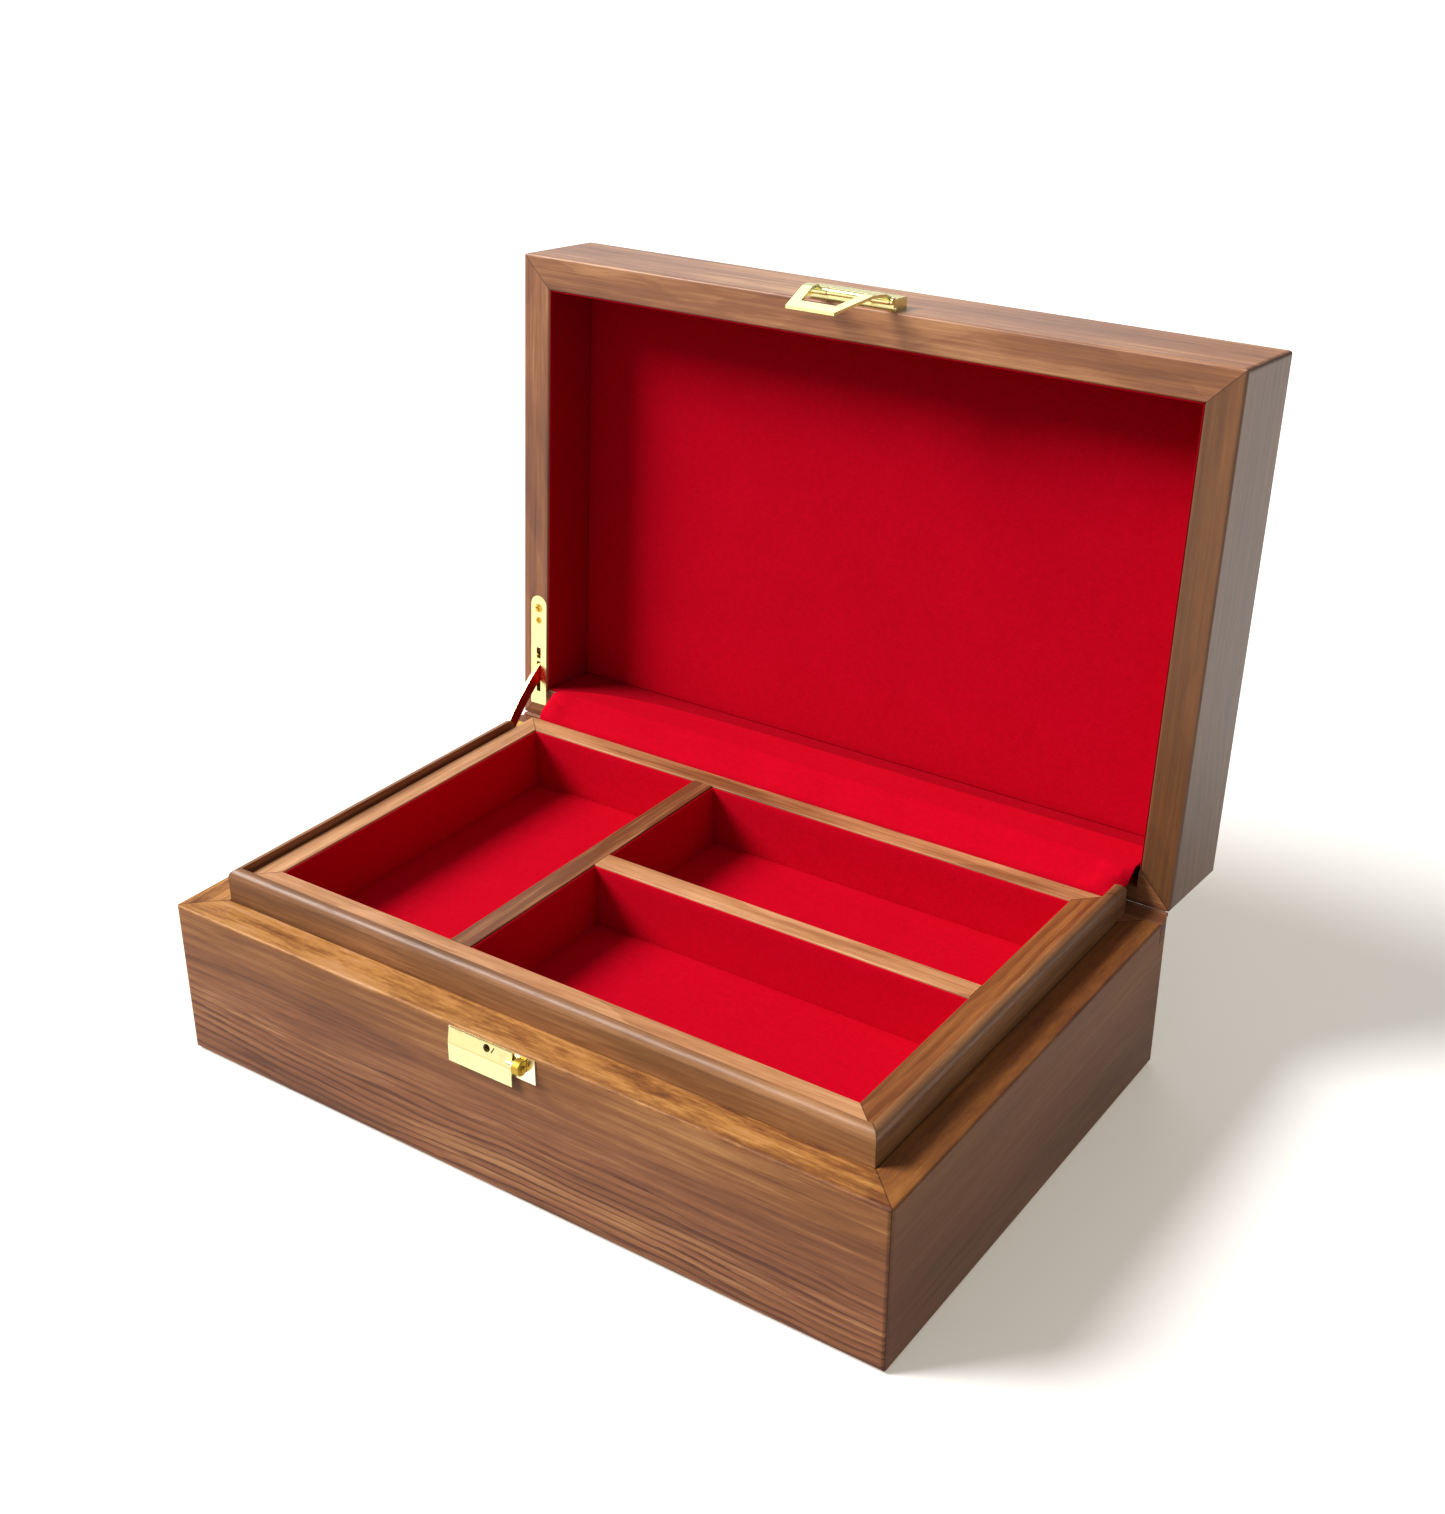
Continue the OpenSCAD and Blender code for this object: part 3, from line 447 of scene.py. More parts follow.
@dataclass(frozen=True)
class Walnut:
    """Oiled walnut with growth rings, pores and a thin satin finish.

    The colours are followed by the growth rings, by how strongly each layer of noise shows, and
    by the fine lines, the joints and the finish.
    """

    pale: Colour = (0.56, 0.280, 0.118)
    mid: Colour = (0.31, 0.118, 0.050)
    dark: Colour = (0.115, 0.036, 0.018)
    gold: Colour = (0.50, 0.225, 0.060)
    amber: Colour = (0.27, 0.100, 0.026)
    joint: Colour = (0.03, 0.012, 0.006)
    ring: float = 0.08
    ring_mm: float = 5.5
    warp_mm: float = 9.0
    streaks: float = 0.78
    fibres: float = 0.5
    broad_bands: float = 1.05
    clouds: float = 0.4
    middle_tone: float = 0.44
    swirls: float = 1.45
    flecks: float = 0.8
    line_mm: float = 3.1
    lines_fade_mm: tuple[float, float] = (14.0, 42.0)
    lines_wander_mm: float = 30.0
    joint_mm: tuple[float, float] = (0.08, 0.42)
    joint_depth: float = 0.75
    gloss: float = 0.38
    shine: float = 0.2
    coat: float = 0.0

    def material(self, name: str, board: Board) -> bpy.types.Material:
        """Makes the material of one board.

        Args:
            name: The material's name.
            board: How the board was cut.

        Returns:
            The material.
        """
        material, g, shader, place = new_material(name)
        wood = Timber(g, place, board)
        late = self._late_wood(wood, board)
        tone = self._tone(wood, board, late)
        # Paler tone above the crest: partly the wood's upper band, partly painted light on the tops, and
        # painted shade down the base's right wall.
        crest = self._above(wood, board.crest) if board.crest else None
        if crest is not None:
            tone = tone - crest * board.crest.paler
        if board.fine_lines:
            tone = tone + self._fine_lines(wood) * board.fine_lines
        colour = g.ramp(tone, [(0.16, self.pale), (0.5, self.mid), (0.88, self.dark)])
        golden = (wood.cloud + wood.broad).ramped(-0.02, 0.22) * 0.3
        colour = g.mix(golden, colour, g.mix(tone, self.gold, self.dark))
        if crest is not None:
            stops = [(0.1, self.gold), (0.5, self.amber), (0.9, self.dark)]
            colour = g.mix(crest * 0.5, colour, g.ramp(tone, stops))
        # The ledge's swirling grain, with a paler tone on the top face that is partly painted light.
        if board.ledge:
            start, whole = (board.ledge.height_mm - depth for depth in board.ledge.fade_mm)
            ledge = self._ledge_colour(wood, board, board.ledge, tone)
            colour = g.mix(wood.up.ramped(start, whole), colour, ledge)
        colour = g.mix(wood.pore * 0.35, colour, self.dark)
        if board.carcass:
            line = self._joint_line(g, place, board.carcass.value)
            colour = g.mix(line * self.joint_depth, colour, self.joint)
        height = wood.fibre * 0.5 + late * 0.25 - wood.pore * 0.6
        feed(
            g, shader, Base_Color=colour, Roughness=self.gloss + wood.fibre * 0.14 + wood.pore * 0.12,
            Normal=g.bump(height, 0.0001, 0.5), Specular_IOR_Level=self.shine,
            Coat_Weight=self.coat, Coat_Roughness=0.3,
        )
        return material

    def _late_wood(self, wood: Timber, board: Board) -> Sock:
        """Finds the dark part of each growth ring.

        Args:
            wood: The board's wood.
            board: How the board was cut.

        Returns:
            How far a point is into the dark part, from 0 to 1.
        """
        drift, run_out = wood.drift, wood.run_out
        from_up = wood.up - board.heart_up_mm + drift * (self.warp_mm * 2) + run_out * (self.warp_mm * 6)
        from_deep = wood.deep - board.heart_deep_mm + wood.wave * self.warp_mm + run_out * (self.warp_mm * 4)
        radius = (from_up * from_up + from_deep * from_deep) ** 0.5
        rings = (radius / self.ring_mm + wood.wave * 0.8).math("FRACT")
        return rings.ramped(0.1, 0.9) * (1 - rings.ramped(0.93, 1.0))

    def _tone(self, wood: Timber, board: Board, late: Sock) -> Sock:
        """Finds how dark the wood is.

        Args:
            wood: The board's wood.
            board: How the board was cut.
            late: The dark part of the growth rings.

        Returns:
            The tone, from about 0 at the palest to about 1.
        """
        tone = late * self.ring + (wood.streak - 0.5) * self.streaks + (wood.fibre - 0.5) * self.fibres
        tone = tone + wood.broad * self.broad_bands + wood.cloud * self.clouds
        return tone * board.figure + (self.middle_tone + board.shade)

    @staticmethod
    def _above(wood: Timber, crest: Crest) -> Sock:
        """Finds the part of a board that is above its crest's height.

        Args:
            wood: The board's wood.
            crest: The crest.

        Returns:
            1 above the height and 0 below it.
        """
        height = wood.up + wood.drift * crest.wander_mm
        return height.ramped(crest.height_mm - crest.soft_mm, crest.height_mm + crest.soft_mm)

    def _fine_lines(self, wood: Timber) -> Sock:
        """Finds the close lines along the lower part of a wall.

        Args:
            wood: The board's wood.

        Returns:
            What the lines add to the tone.
        """
        bent = wood.up / self.line_mm + wood.drift * 5.0 + wood.streak * 1.1 + wood.wave * 0.8
        line = bent.math("FRACT").ramped(0.45, 0.95)
        low = 1 - (wood.up + wood.drift * self.lines_wander_mm).ramped(*self.lines_fade_mm)
        return (line - 0.22) * low * (0.62 + wood.cloud * 1.6)

    def _ledge_colour(self, wood: Timber, board: Board, ledge: Ledge, tone: Sock) -> Sock:
        """Finds the colour of a wall's top edge.

        Args:
            wood: The board's wood.
            board: How the board was cut.
            ledge: Its top edge.
            tone: How dark the wood is.

        Returns:
            The colour.
        """
        swirl = wood.noise(Figure.SWIRL, wood.drift * 3.0)
        fleck = wood.noise(Figure.FLECK)
        away = abs(wood.along - ledge.heart_mm) * (ledge.darker / 100.0)
        figure = (swirl - 0.5) * self.swirls + (fleck - 0.5) * self.flecks
        shown = tone - ledge.paler + figure * board.figure + away
        stops = [(0.1, self.pale), (0.36, self.gold), (0.66, self.amber), (0.95, self.dark)]
        return wood.graph.ramp(shown, stops)

    def _joint_line(self, g: Graph, place: Sock, frame: Frame) -> Sock:
        """Finds the line of the mitred corner joints.

        Args:
            g: The material's graph.
            place: The place on the object in metres.
            frame: The mitred frame.

        Returns:
            1 on the line and 0 away from it.
        """
        back = g.along(place, Vector(frame.back)) + frame.shift_mm
        gap = abs(abs(g.along(place, Vector((1, 0, 0)))) - abs(back) - frame.excess_mm)
        return 1 - gap.ramped(*self.joint_mm)


@dataclass(frozen=True)
class Velvet:
    """Short red pile with a faint sheen."""

    deep: Colour = (0.44, 0.0, 0.008)
    bright: Colour = (0.58, 0.0006, 0.016)
    sheen: Colour = (1.0, 0.03, 0.08)
    pile_mm: float = 0.35

    def material(self, name: str) -> bpy.types.Material:
        """Makes the material.

        Args:
            name: The material's name.

        Returns:
            The material.
        """
        material, g, shader, place = new_material(name)
        nap = g.noise(place, 45.0, 3.0, 0.55)
        clump = g.noise(place, 420.0, 2.0, 0.6)
        tuft = g.noise(place, 1 / (self.pile_mm * MM), 2.0, 0.6)
        tone = (nap * 0.16 + clump * 0.3 + tuft * 0.6).ramped(0.25, 0.8)
        feed(
            g, shader, Base_Color=g.mix(tone, self.deep, self.bright), Roughness=0.92,
            Normal=g.bump(tuft * 0.7 + clump * 0.5, 0.00016, 0.7),
            Sheen_Weight=0.12, Sheen_Roughness=0.35, Sheen_Tint=(*self.sheen, 1),
            Specular_IOR_Level=0.04,
        )
        return material


@dataclass(frozen=True)
class Brass:
    """Brass with fine rub marks and a little tarnish.

    Its side colour goes on the faces that look left or right and is a painted reflection: on the arm it
    stands for the red velvet that the metal mirrors. Above its fold it is duller, which is painted shade, and
    a darker painted line lies along the crease.
    """

    bright: Colour = (0.84, 0.79, 0.38)
    tarnish_and_painted_shade: Colour = (0.72, 0.56, 0.18)
    gloss: float = 0.22
    side: Colour | None = None
    fold_mm: float | None = None
    fold_soft_mm: float = 0.2
    crease_mm: tuple[float, float] = (0.05, 0.5)
    rub_scale: Point = (90, 900, 2600)
    stain_scale: float = 160.0

    def material(self, name: str) -> bpy.types.Material:
        """Makes the material.

        Args:
            name: The material's name.

        Returns:
            The material.
        """
        material, g, shader, place = new_material(name)
        rubbed = g.add("ShaderNodeMapping", None, {"Vector": place, "Scale": self.rub_scale})
        rub = g.noise(rubbed, 1.0, 3.0)
        cloud = g.noise(place, self.stain_scale, 3.0, 0.6)
        stain = cloud.ramped(0.52, 0.8)
        colour = g.mix(stain * 0.5, self.bright, self.tarnish_and_painted_shade)
        # Painted reflection: faces that look left or right take the side colour, standing in for the red
        # velvet mirrored in them.
        if self.side:
            facing = g.add("ShaderNodeTexCoord", output="Normal")
            sideways = g.add("ShaderNodeSeparateXYZ", None, {0: facing})
            colour = g.mix(abs(sideways).ramped(0.6, 0.9), colour, self.side)
        # Painted shade: above the fold the metal is mixed towards the darker colour, with a darker painted
        # line along the crease.
        if self.fold_mm is not None:
            height = g.add("ShaderNodeSeparateXYZ", None, {0: place}, 2) * TO_MM
            band = height.ramped(self.fold_mm - self.fold_soft_mm, self.fold_mm + self.fold_soft_mm)
            crease = 1 - abs(height - self.fold_mm).ramped(*self.crease_mm)
            colour = g.mix(band * 0.25 + crease * 0.4, colour, self.tarnish_and_painted_shade)
        feed(
            g, shader, Base_Color=colour, Metallic=1.0,
            Roughness=self.gloss + stain * 0.12 + rub * 0.06, Normal=g.bump(rub + cloud * 0.8, 0.000008, 0.5),
        )
        return material


@dataclass(frozen=True)
class Felt:
    """Pressed dark felt."""

    dark: Colour = (0.012, 0.009, 0.008)
    pale: Colour = (0.05, 0.04, 0.034)

    def material(self, name: str) -> bpy.types.Material:
        """Makes the material.

        Args:
            name: The material's name.

        Returns:
            The material.
        """
        material, g, shader, place = new_material(name)
        fuzz = g.noise(place, 1500.0, 3.0, 0.7)
        lump = g.noise(place, 260.0, 2.0)
        feed(
            g, shader, Base_Color=g.mix(fuzz.ramped(0.35, 0.75), self.dark, self.pale), Roughness=0.97,
            Normal=g.bump(fuzz + lump * 0.5, 0.0002, 0.8), Specular_IOR_Level=0.1,
        )
        return material


@dataclass(frozen=True)
class Plywood:
    """Birch plywood: pale faces and dark glue lines on the edges."""

    pale: Colour = (0.56, 0.38, 0.21)
    dark: Colour = (0.30, 0.17, 0.08)
    ply_mm: float = 1.0

    def material(self, name: str, normal: Vector, along: Vector) -> bpy.types.Material:
        """Makes the material of one board.

        Args:
            name: The material's name.
            normal: The direction that the board faces.
            along: The direction of its face grain.

        Returns:
            The material.
        """
        material, g, shader, place = new_material(name)
        through = g.along(place, normal)
        s = g.along(place, along)
        t = g.along(place, along.cross(normal))
        grain = g.noise(g.vector(s * 0.02, t * 0.6, through * 0.6), 1.0, 4.0, 0.6)
        glue = (through / self.ply_mm).math("FRACT").ramped(0.8, 0.95)
        tone = grain.ramped(0.3, 0.75) * 0.5 + glue * 0.3
        feed(
            g, shader, Base_Color=g.mix(tone, self.pale, self.dark), Roughness=0.62 + grain * 0.12,
            Normal=g.bump(grain, 0.0001, 0.5),
        )
        return material


# ---- Velvet panels ----


class PanelTree:
    """Geometry nodes that make one padded panel: a board of fabric with a crowned face."""

    SIZES = ("Width", "Depth", "Thickness", "Crown", "Ripple", "Cell", "Seed")
    CROWN_POWER = 5
    RIPPLE_SCALE = 28.0

    def __init__(self) -> None:
        """Builds the node tree once for every panel."""
        self.tree = bpy.data.node_groups.new("padded_panel", "GeometryNodeTree")
        face = self.tree.interface
        self.sockets = {
            name: face.new_socket(name, in_out="INPUT", socket_type="NodeSocketFloat").identifier
            for name in self.SIZES
        }
        self.sockets["Cloth"] = face.new_socket(
            "Cloth", in_out="INPUT", socket_type="NodeSocketMaterial"
        ).identifier
        face.new_socket("Panel", in_out="OUTPUT", socket_type="NodeSocketGeometry")
        self._wire(Graph(self.tree))

    def _wire(self, g: Graph) -> None:
        """Wires the tree: a cube of cells whose top swells towards the middle.

        Args:
            g: The tree's graph.
        """
        given = g.node("NodeGroupInput")
        size = {n: Sock(g, given.outputs[n]) for n in self.SIZES}
        counts = [(size[n] / size["Cell"]).math("CEIL") + 2 for n in ("Width", "Depth")]
        cube = g.add(
            "GeometryNodeMeshCube",
            None,
            {
                "Size": g.vector(size["Width"], size["Depth"], size["Thickness"]),
                "Vertices X": counts[0],
                "Vertices Y": counts[1],
                "Vertices Z": 2,
            },
            "Mesh",
        )
        place = g.add("GeometryNodeInputPosition")
        axes = g.node("ShaderNodeSeparateXYZ", None, {0: place})
        x, y, z = (Sock(g, axes.outputs[i]) for i in range(3))
        across = abs(x / (size["Width"] * 0.5))
        down = abs(y / (size["Depth"] * 0.5))
        swell = (1 - across**self.CROWN_POWER) * (1 - down**self.CROWN_POWER)
        top = z.math("GREATER_THAN", 0.0)
        shifted = g.add(
            "ShaderNodeVectorMath",
            {"operation": "ADD"},
            {0: place, 1: g.vector(size["Seed"] * 0.37, size["Seed"] * 0.71, size["Seed"])},
        )
        ripple = (g.noise(shifted, self.RIPPLE_SCALE, 2.0) - 0.5) * size["Ripple"]
        lift = top * swell * (size["Crown"] + ripple)
        moved = g.add(
            "GeometryNodeSetPosition", None, {"Geometry": cube, "Offset": g.vector(0.0, 0.0, lift)}
        )
        smooth = g.add("GeometryNodeSetShadeSmooth", None, {"Geometry": moved})
        whole = g.add("GeometryNodeRealizeInstances", None, {"Geometry": smooth})
        dressed = g.add(
            "GeometryNodeSetMaterial", None, {"Geometry": whole, "Material": given.outputs["Cloth"]}
        )
        g.node("NodeGroupOutput", None, {0: dressed})


@dataclass(frozen=True)
class Panel:
    """One padded panel in millimetres, with the matrix that puts its back at a place."""

    width: float
    depth: float
    thick: float
    crown: float
    place: Matrix
    ripple: float = 0.25
    edge: float = 0.35
    cell: float = 4.0


class Upholsterer:
    """Makes padded pieces out of panels."""

    EDGE_SEGMENTS = 3
    EDGE_ANGLE = math.radians(50)

    def __init__(self, cloth: bpy.types.Material) -> None:
        """Builds the panel tree.

        Args:
            cloth: The cloth of every piece that isn't given another.
        """
        self.cloth = cloth
        self.tree = PanelTree()
        self.made = 0

    def panel(self, spec: Panel, cloth: bpy.types.Material) -> bpy.types.Mesh:
        """Makes one panel's plain mesh.

        Args:
            spec: The panel's sizes and place.
            cloth: Its material.

        Returns:
            The mesh, in the box's frame.
        """
        self.made += 1
        holder = bpy.data.objects.new("panel", bpy.data.meshes.new("panel"))
        bpy.context.scene.collection.objects.link(holder)
        modifier = holder.modifiers.new("panel", "NODES")
        modifier.node_group = self.tree.tree
        ids = self.tree.sockets
        sizes = {
            "Width": spec.width, "Depth": spec.depth, "Thickness": spec.thick,
            "Crown": spec.crown, "Ripple": spec.ripple, "Cell": spec.cell,
        }
        for name, value in sizes.items():
            modifier[ids[name]] = value * MM
        modifier[ids["Seed"]] = float(self.made)
        modifier[ids["Cloth"]] = cloth
        bevel = holder.modifiers.new("edge", "BEVEL")
        bevel.width, bevel.segments = spec.edge * MM, self.EDGE_SEGMENTS
        bevel.limit_method, bevel.angle_limit = "ANGLE", self.EDGE_ANGLE
        bevel.use_clamp_overlap = False
        holder.update_tag()
        ready = holder.evaluated_get(bpy.context.evaluated_depsgraph_get())
        mesh = bpy.data.meshes.new_from_object(ready)
        bpy.data.objects.remove(holder)
        lift = Matrix.Translation((0, 0, spec.thick * MM / 2))
        mesh.transform(spec.place @ lift)
        return mesh

    def piece(
        self, name: str, panels: Iterable[Panel], cloth: bpy.types.Material | None = None
    ) -> bpy.types.Object:
        """Joins panels into one object at the origin, in the usual cloth or in another."""
        cloth = cloth or self.cloth
        return joined(name, [self.panel(p, cloth) for p in panels], cloth)


def joined(name: str, meshes: Sequence[bpy.types.Mesh], material: bpy.types.Material) -> bpy.types.Object:
    """Makes one object out of several meshes.

    Args:
        name: The object's name.
        meshes: The meshes, which are used up.
        material: The material of all of them.

    Returns:
        The object, linked to the scene.
    """
    work = bmesh.new()
    for mesh in meshes:
        work.from_mesh(mesh)
        bpy.data.meshes.remove(mesh)
    for face in work.faces:
        face.material_index = 0
    mesh = bpy.data.meshes.new(name)
    work.to_mesh(mesh)
    work.free()
    mesh.materials.clear()
    mesh.materials.append(material)
    made = bpy.data.objects.new(name, mesh)
    bpy.context.scene.collection.objects.link(made)
    return made


def placed(origin: Sequence[float], x_axis: Sequence[float], normal: Sequence[float]) -> Matrix:
    """The matrix of a panel.

    Args:
        origin: The middle of the panel's back in millimetres.
        x_axis: The direction of the panel's width.
        normal: The direction that the panel faces.

    Returns:
        The matrix.
    """
    x, z = Vector(x_axis).normalized(), Vector(normal).normalized()
    y = z.cross(x)
    turn = Matrix((x, y, z)).transposed().to_4x4()
    return Matrix.Translation(Vector(origin) * MM) @ turn


def in_mm(corners: Iterable[Sequence[float]]) -> tuple[Point, Point]:
    """The two corners of a box in metres, as millimetres."""
    low, high = (tuple(value * TO_MM for value in corner) for corner in corners)
    return low, high


@dataclass
class Nest:
    """The velvet lining of one compartment, in millimetres: a padded floor and four walls."""

    low: Point
    high: Point
    wall: float = 0.7
    wall_crown: float = 0.15
    floor: float = 1.5
    crown: float = 0.7
    floor_play: float = 0.2
    wall_play: float = 0.1

    def panels(self) -> list[Panel]:
        """Lays out the lining.

        Returns:
            The floor and the walls.
        """
        (x0, y0, z0), (x1, y1, z1) = self.low, self.high
        mid = ((x0 + x1) / 2, (y0 + y1) / 2)
        tall = z1 - z0
        up = z0 + tall / 2
        width, depth = x1 - x0, y1 - y0
        place = placed((*mid, z0), (1, 0, 0), (0, 0, 1))
        floor = Panel(width - self.floor_play, depth - self.floor_play, self.floor, self.crown, place)
        sides = [
            (width, (mid[0], y0, up), (-1, 0, 0), (0, 1, 0)),
            (width, (mid[0], y1, up), (1, 0, 0), (0, -1, 0)),
            (depth, (x0, mid[1], up), (0, 1, 0), (1, 0, 0)),
            (depth, (x1, mid[1], up), (0, -1, 0), (-1, 0, 0)),
        ]
        walls = [
            Panel(
                length - self.wall_play, tall, self.wall, self.wall_crown,
                placed(at, along, facing), ripple=0.2, edge=0.3,
            )
            for length, at, along, facing in sides
        ]
        return [floor, *walls]


# ---- Sub-assemblies ----


def dress(frame: dict[str, Any], node: str, material: bpy.types.Material) -> None:
    """Gives a CAD node one material in every slot.

    Args:
        node: The node's name.
        material: The material.
    """
    mesh = frame["nodes"][node].data
    mesh.materials.clear()
    mesh.materials.append(material)
    for polygon in mesh.polygons:
        polygon.material_index = 0


def pale_walnut() -> Walnut:
    """Chooses the colours of the tray.

    Returns:
        A paler walnut with closer growth rings.
    """
    return Walnut(
        pale=(0.72, 0.40, 0.20), mid=(0.50, 0.23, 0.095), dark=(0.17, 0.055, 0.018),
        gold=(0.62, 0.28, 0.075), ring=0.14, ring_mm=4.0, warp_mm=6.0, gloss=0.42, shine=0.4,
    )


def lip_walnut() -> Walnut:
    """Chooses the colours of the lip round the tray.

    Returns:
        A darker walnut with a thin glossy coat.
    """
    return Walnut(
        pale=(0.40, 0.185, 0.070), mid=(0.23, 0.093, 0.032), dark=(0.085, 0.032, 0.012),
        gold=(0.33, 0.15, 0.045), gloss=0.42, shine=0.4, coat=0.14,
    )


@dataclass
class Boards:
    """Every wooden board of the box and how its grain runs."""

    walnut: Walnut = field(default_factory=Walnut)
    pale: Walnut = field(default_factory=pale_walnut)
    lip: Walnut = field(default_factory=lip_walnut)
    wall_top_mm: float = 62.5

    def cuts(self) -> dict[str, tuple[Walnut, Board]]:
        """Chooses every board.

        Returns:
            The finish and the cut of each board, by node.
        """
        return {**self._base_cuts(), **self._lid_cuts(), **self._tray_cuts()}

    def _base_cuts(self) -> dict[str, tuple[Walnut, Board]]:
        """Chooses the boards of the base.

        Returns:
            The finish and the cut of each board, by node.
        """
        x, y, z, base = (1, 0, 0), (0, 1, 0), (0, 0, 1), Carcass.BASE
        top = self.wall_top_mm
        front = Board(
            x, z, -230, 60, 1.0, base, fine_lines=0.68, shade=0.14,
            crest=Crest(47.0, 0.16, 9.0), ledge=Ledge(top, 0.16, heart_mm=-70.0, darker=0.2),
        )
        left = Board(
            y, z, -240, 120, 3.0, base, fine_lines=0.3, shade=0.18,
            crest=Crest(56.0), ledge=Ledge(top, 0.0),
        )
        # Painted shade: the right wall faces away from the lamp, so it is darkened, and its crest makes it
        # darker towards the bottom.
        right = Board(
            y, z, -240, -120, 4.0, base, shade=0.26, figure=0.4,
            crest=Crest(34.0, 0.2, 24.0), ledge=Ledge(top, -0.22),
        )
        return {
            "base_front_wall": (self.walnut, front),
            "base_back_wall": (self.walnut, Board(x, z, -260, -70, 2.0, base, fine_lines=0.3)),
            "base_left_wall": (self.walnut, left),
            "base_right_wall": (self.walnut, right),
            # Painted shade: the hinge batten is darkened for the shadow it sits in under the open lid.
            "hinge_batten": (self.walnut, Board(x, z, -120, -70, 5.0, shade=0.26)),
            "lip_front": (self.lip, Board(x, z, -40, 60, 6.0, base)),
            "lip_right": (self.lip, Board(y, z, -40, 100, 7.0, base)),
            "lip_left": (self.lip, Board(y, z, -40, -100, 8.0, base)),
            "tray_rests": (self.walnut, Board(y, z, -90, 0, 9.0)),
        }

    def _lid_cuts(self) -> dict[str, tuple[Walnut, Board]]:
        """Chooses the boards of the lid.

        Returns:
            The finish and the cut of each board, by node.
        """
        x, fwd, up, lid = (1, 0, 0), tuple(LID_FORWARD), tuple(LID_UP), Carcass.LID
        rim = replace(self.walnut, shine=0.45, coat=0.15)
        # Painted shade: the right rail's rim sits in shade under the open lid, so it gets darker colours and
        # a larger shade offset.
        brown_rim_painted_shade = replace(
            rim, pale=(0.41, 0.205, 0.070), mid=(0.23, 0.092, 0.028), dark=(0.09, 0.033, 0.011)
        )
        return {
            "lid_front_rail": (rim, Board(x, up, -210, 130, 10.0, lid, shade=-0.04)),
            # Painted shade: the back rail is darkened for the shadow at the foot of the open lid.
            "lid_back_rail": (self.walnut, Board(x, up, -200, -60, 11.0, lid, shade=0.14)),
            "lid_left_rail": (rim, Board(fwd, up, -190, 90, 12.0, lid, shade=0.06)),
            "lid_right_rail": (
                brown_rim_painted_shade,
                Board(fwd, up, -210, -110, 13.0, lid, shade=0.24, figure=0.6),
            ),
            "lid_top_panel": (self.walnut, Board(x, fwd, 170, 60, 14.0)),
        }

    def _tray_cuts(self) -> dict[str, tuple[Walnut, Board]]:
        """Chooses the boards of the tray.

        Returns:
            The finish and the cut of each board, by node.
        """
        x, y, z, tray = (1, 0, 0), (0, 1, 0), (0, 0, 1), Carcass.TRAY
        orange = replace(
            self.pale, pale=(0.60, 0.29, 0.10), mid=(0.42, 0.165, 0.045), dark=(0.15, 0.045, 0.012)
        )
        return {
            "tray_front_rail": (self.pale, Board(x, z, -60, 40, 15.0, tray)),
            "tray_back_rail": (self.pale, Board(x, z, -70, -50, 16.0, tray, shade=0.08)),
            "tray_left_rail": (self.pale, Board(y, z, -60, 90, 17.0, tray, shade=-0.06)),
            "tray_right_rail": (orange, Board(y, z, -70, -90, 18.0, tray, shade=0.28, figure=0.6)),
            "tray_main_divider": (self.pale, Board(y, z, -30, 30, 19.0, shade=0.36)),
            "tray_cross_divider": (self.pale, Board(x, z, -50, 20, 20.0)),
        }

    def build(self, frame: dict[str, Any]) -> None:
        """Gives each wooden node its own board's material.
        """
        for node, (finish, board) in self.cuts().items():
            dress(frame, node, finish.material(f"walnut_{node}", board))
            LOG.info("board %s", node)
        flat = Vector((0, 0, 1))
        faces = {"base_floor": flat, "tray_bottom_board": flat, "lid_lining_board": LID_UP}
        for node, normal in faces.items():
            dress(frame, node, Plywood().material(f"plywood_{node}", normal, Vector((1, 0, 0))))
            LOG.info("plywood %s", node)


class Metal(Enum):
    """The finishes of the brass fittings."""

    PALE = Brass()
    # The lever's upper band and its crease get painted shade.
    LEVER = Brass((0.82, 0.79, 0.42), (0.50, 0.40, 0.12), 0.34, fold_mm=LEVER_FOLD_MM)
    MOUNT = Brass((0.97, 0.93, 0.68), (0.90, 0.80, 0.42))
    TURNED = Brass((0.66, 0.44, 0.07), (0.40, 0.24, 0.03), 0.36)
    AGED = Brass((0.52, 0.34, 0.05), (0.34, 0.20, 0.03), 0.5)
    # The arm's red side colour is a painted reflection of the velvet.
    ARM = Brass((0.80, 0.58, 0.22), (0.66, 0.42, 0.12), 0.26, side=(0.72, 0.03, 0.02))


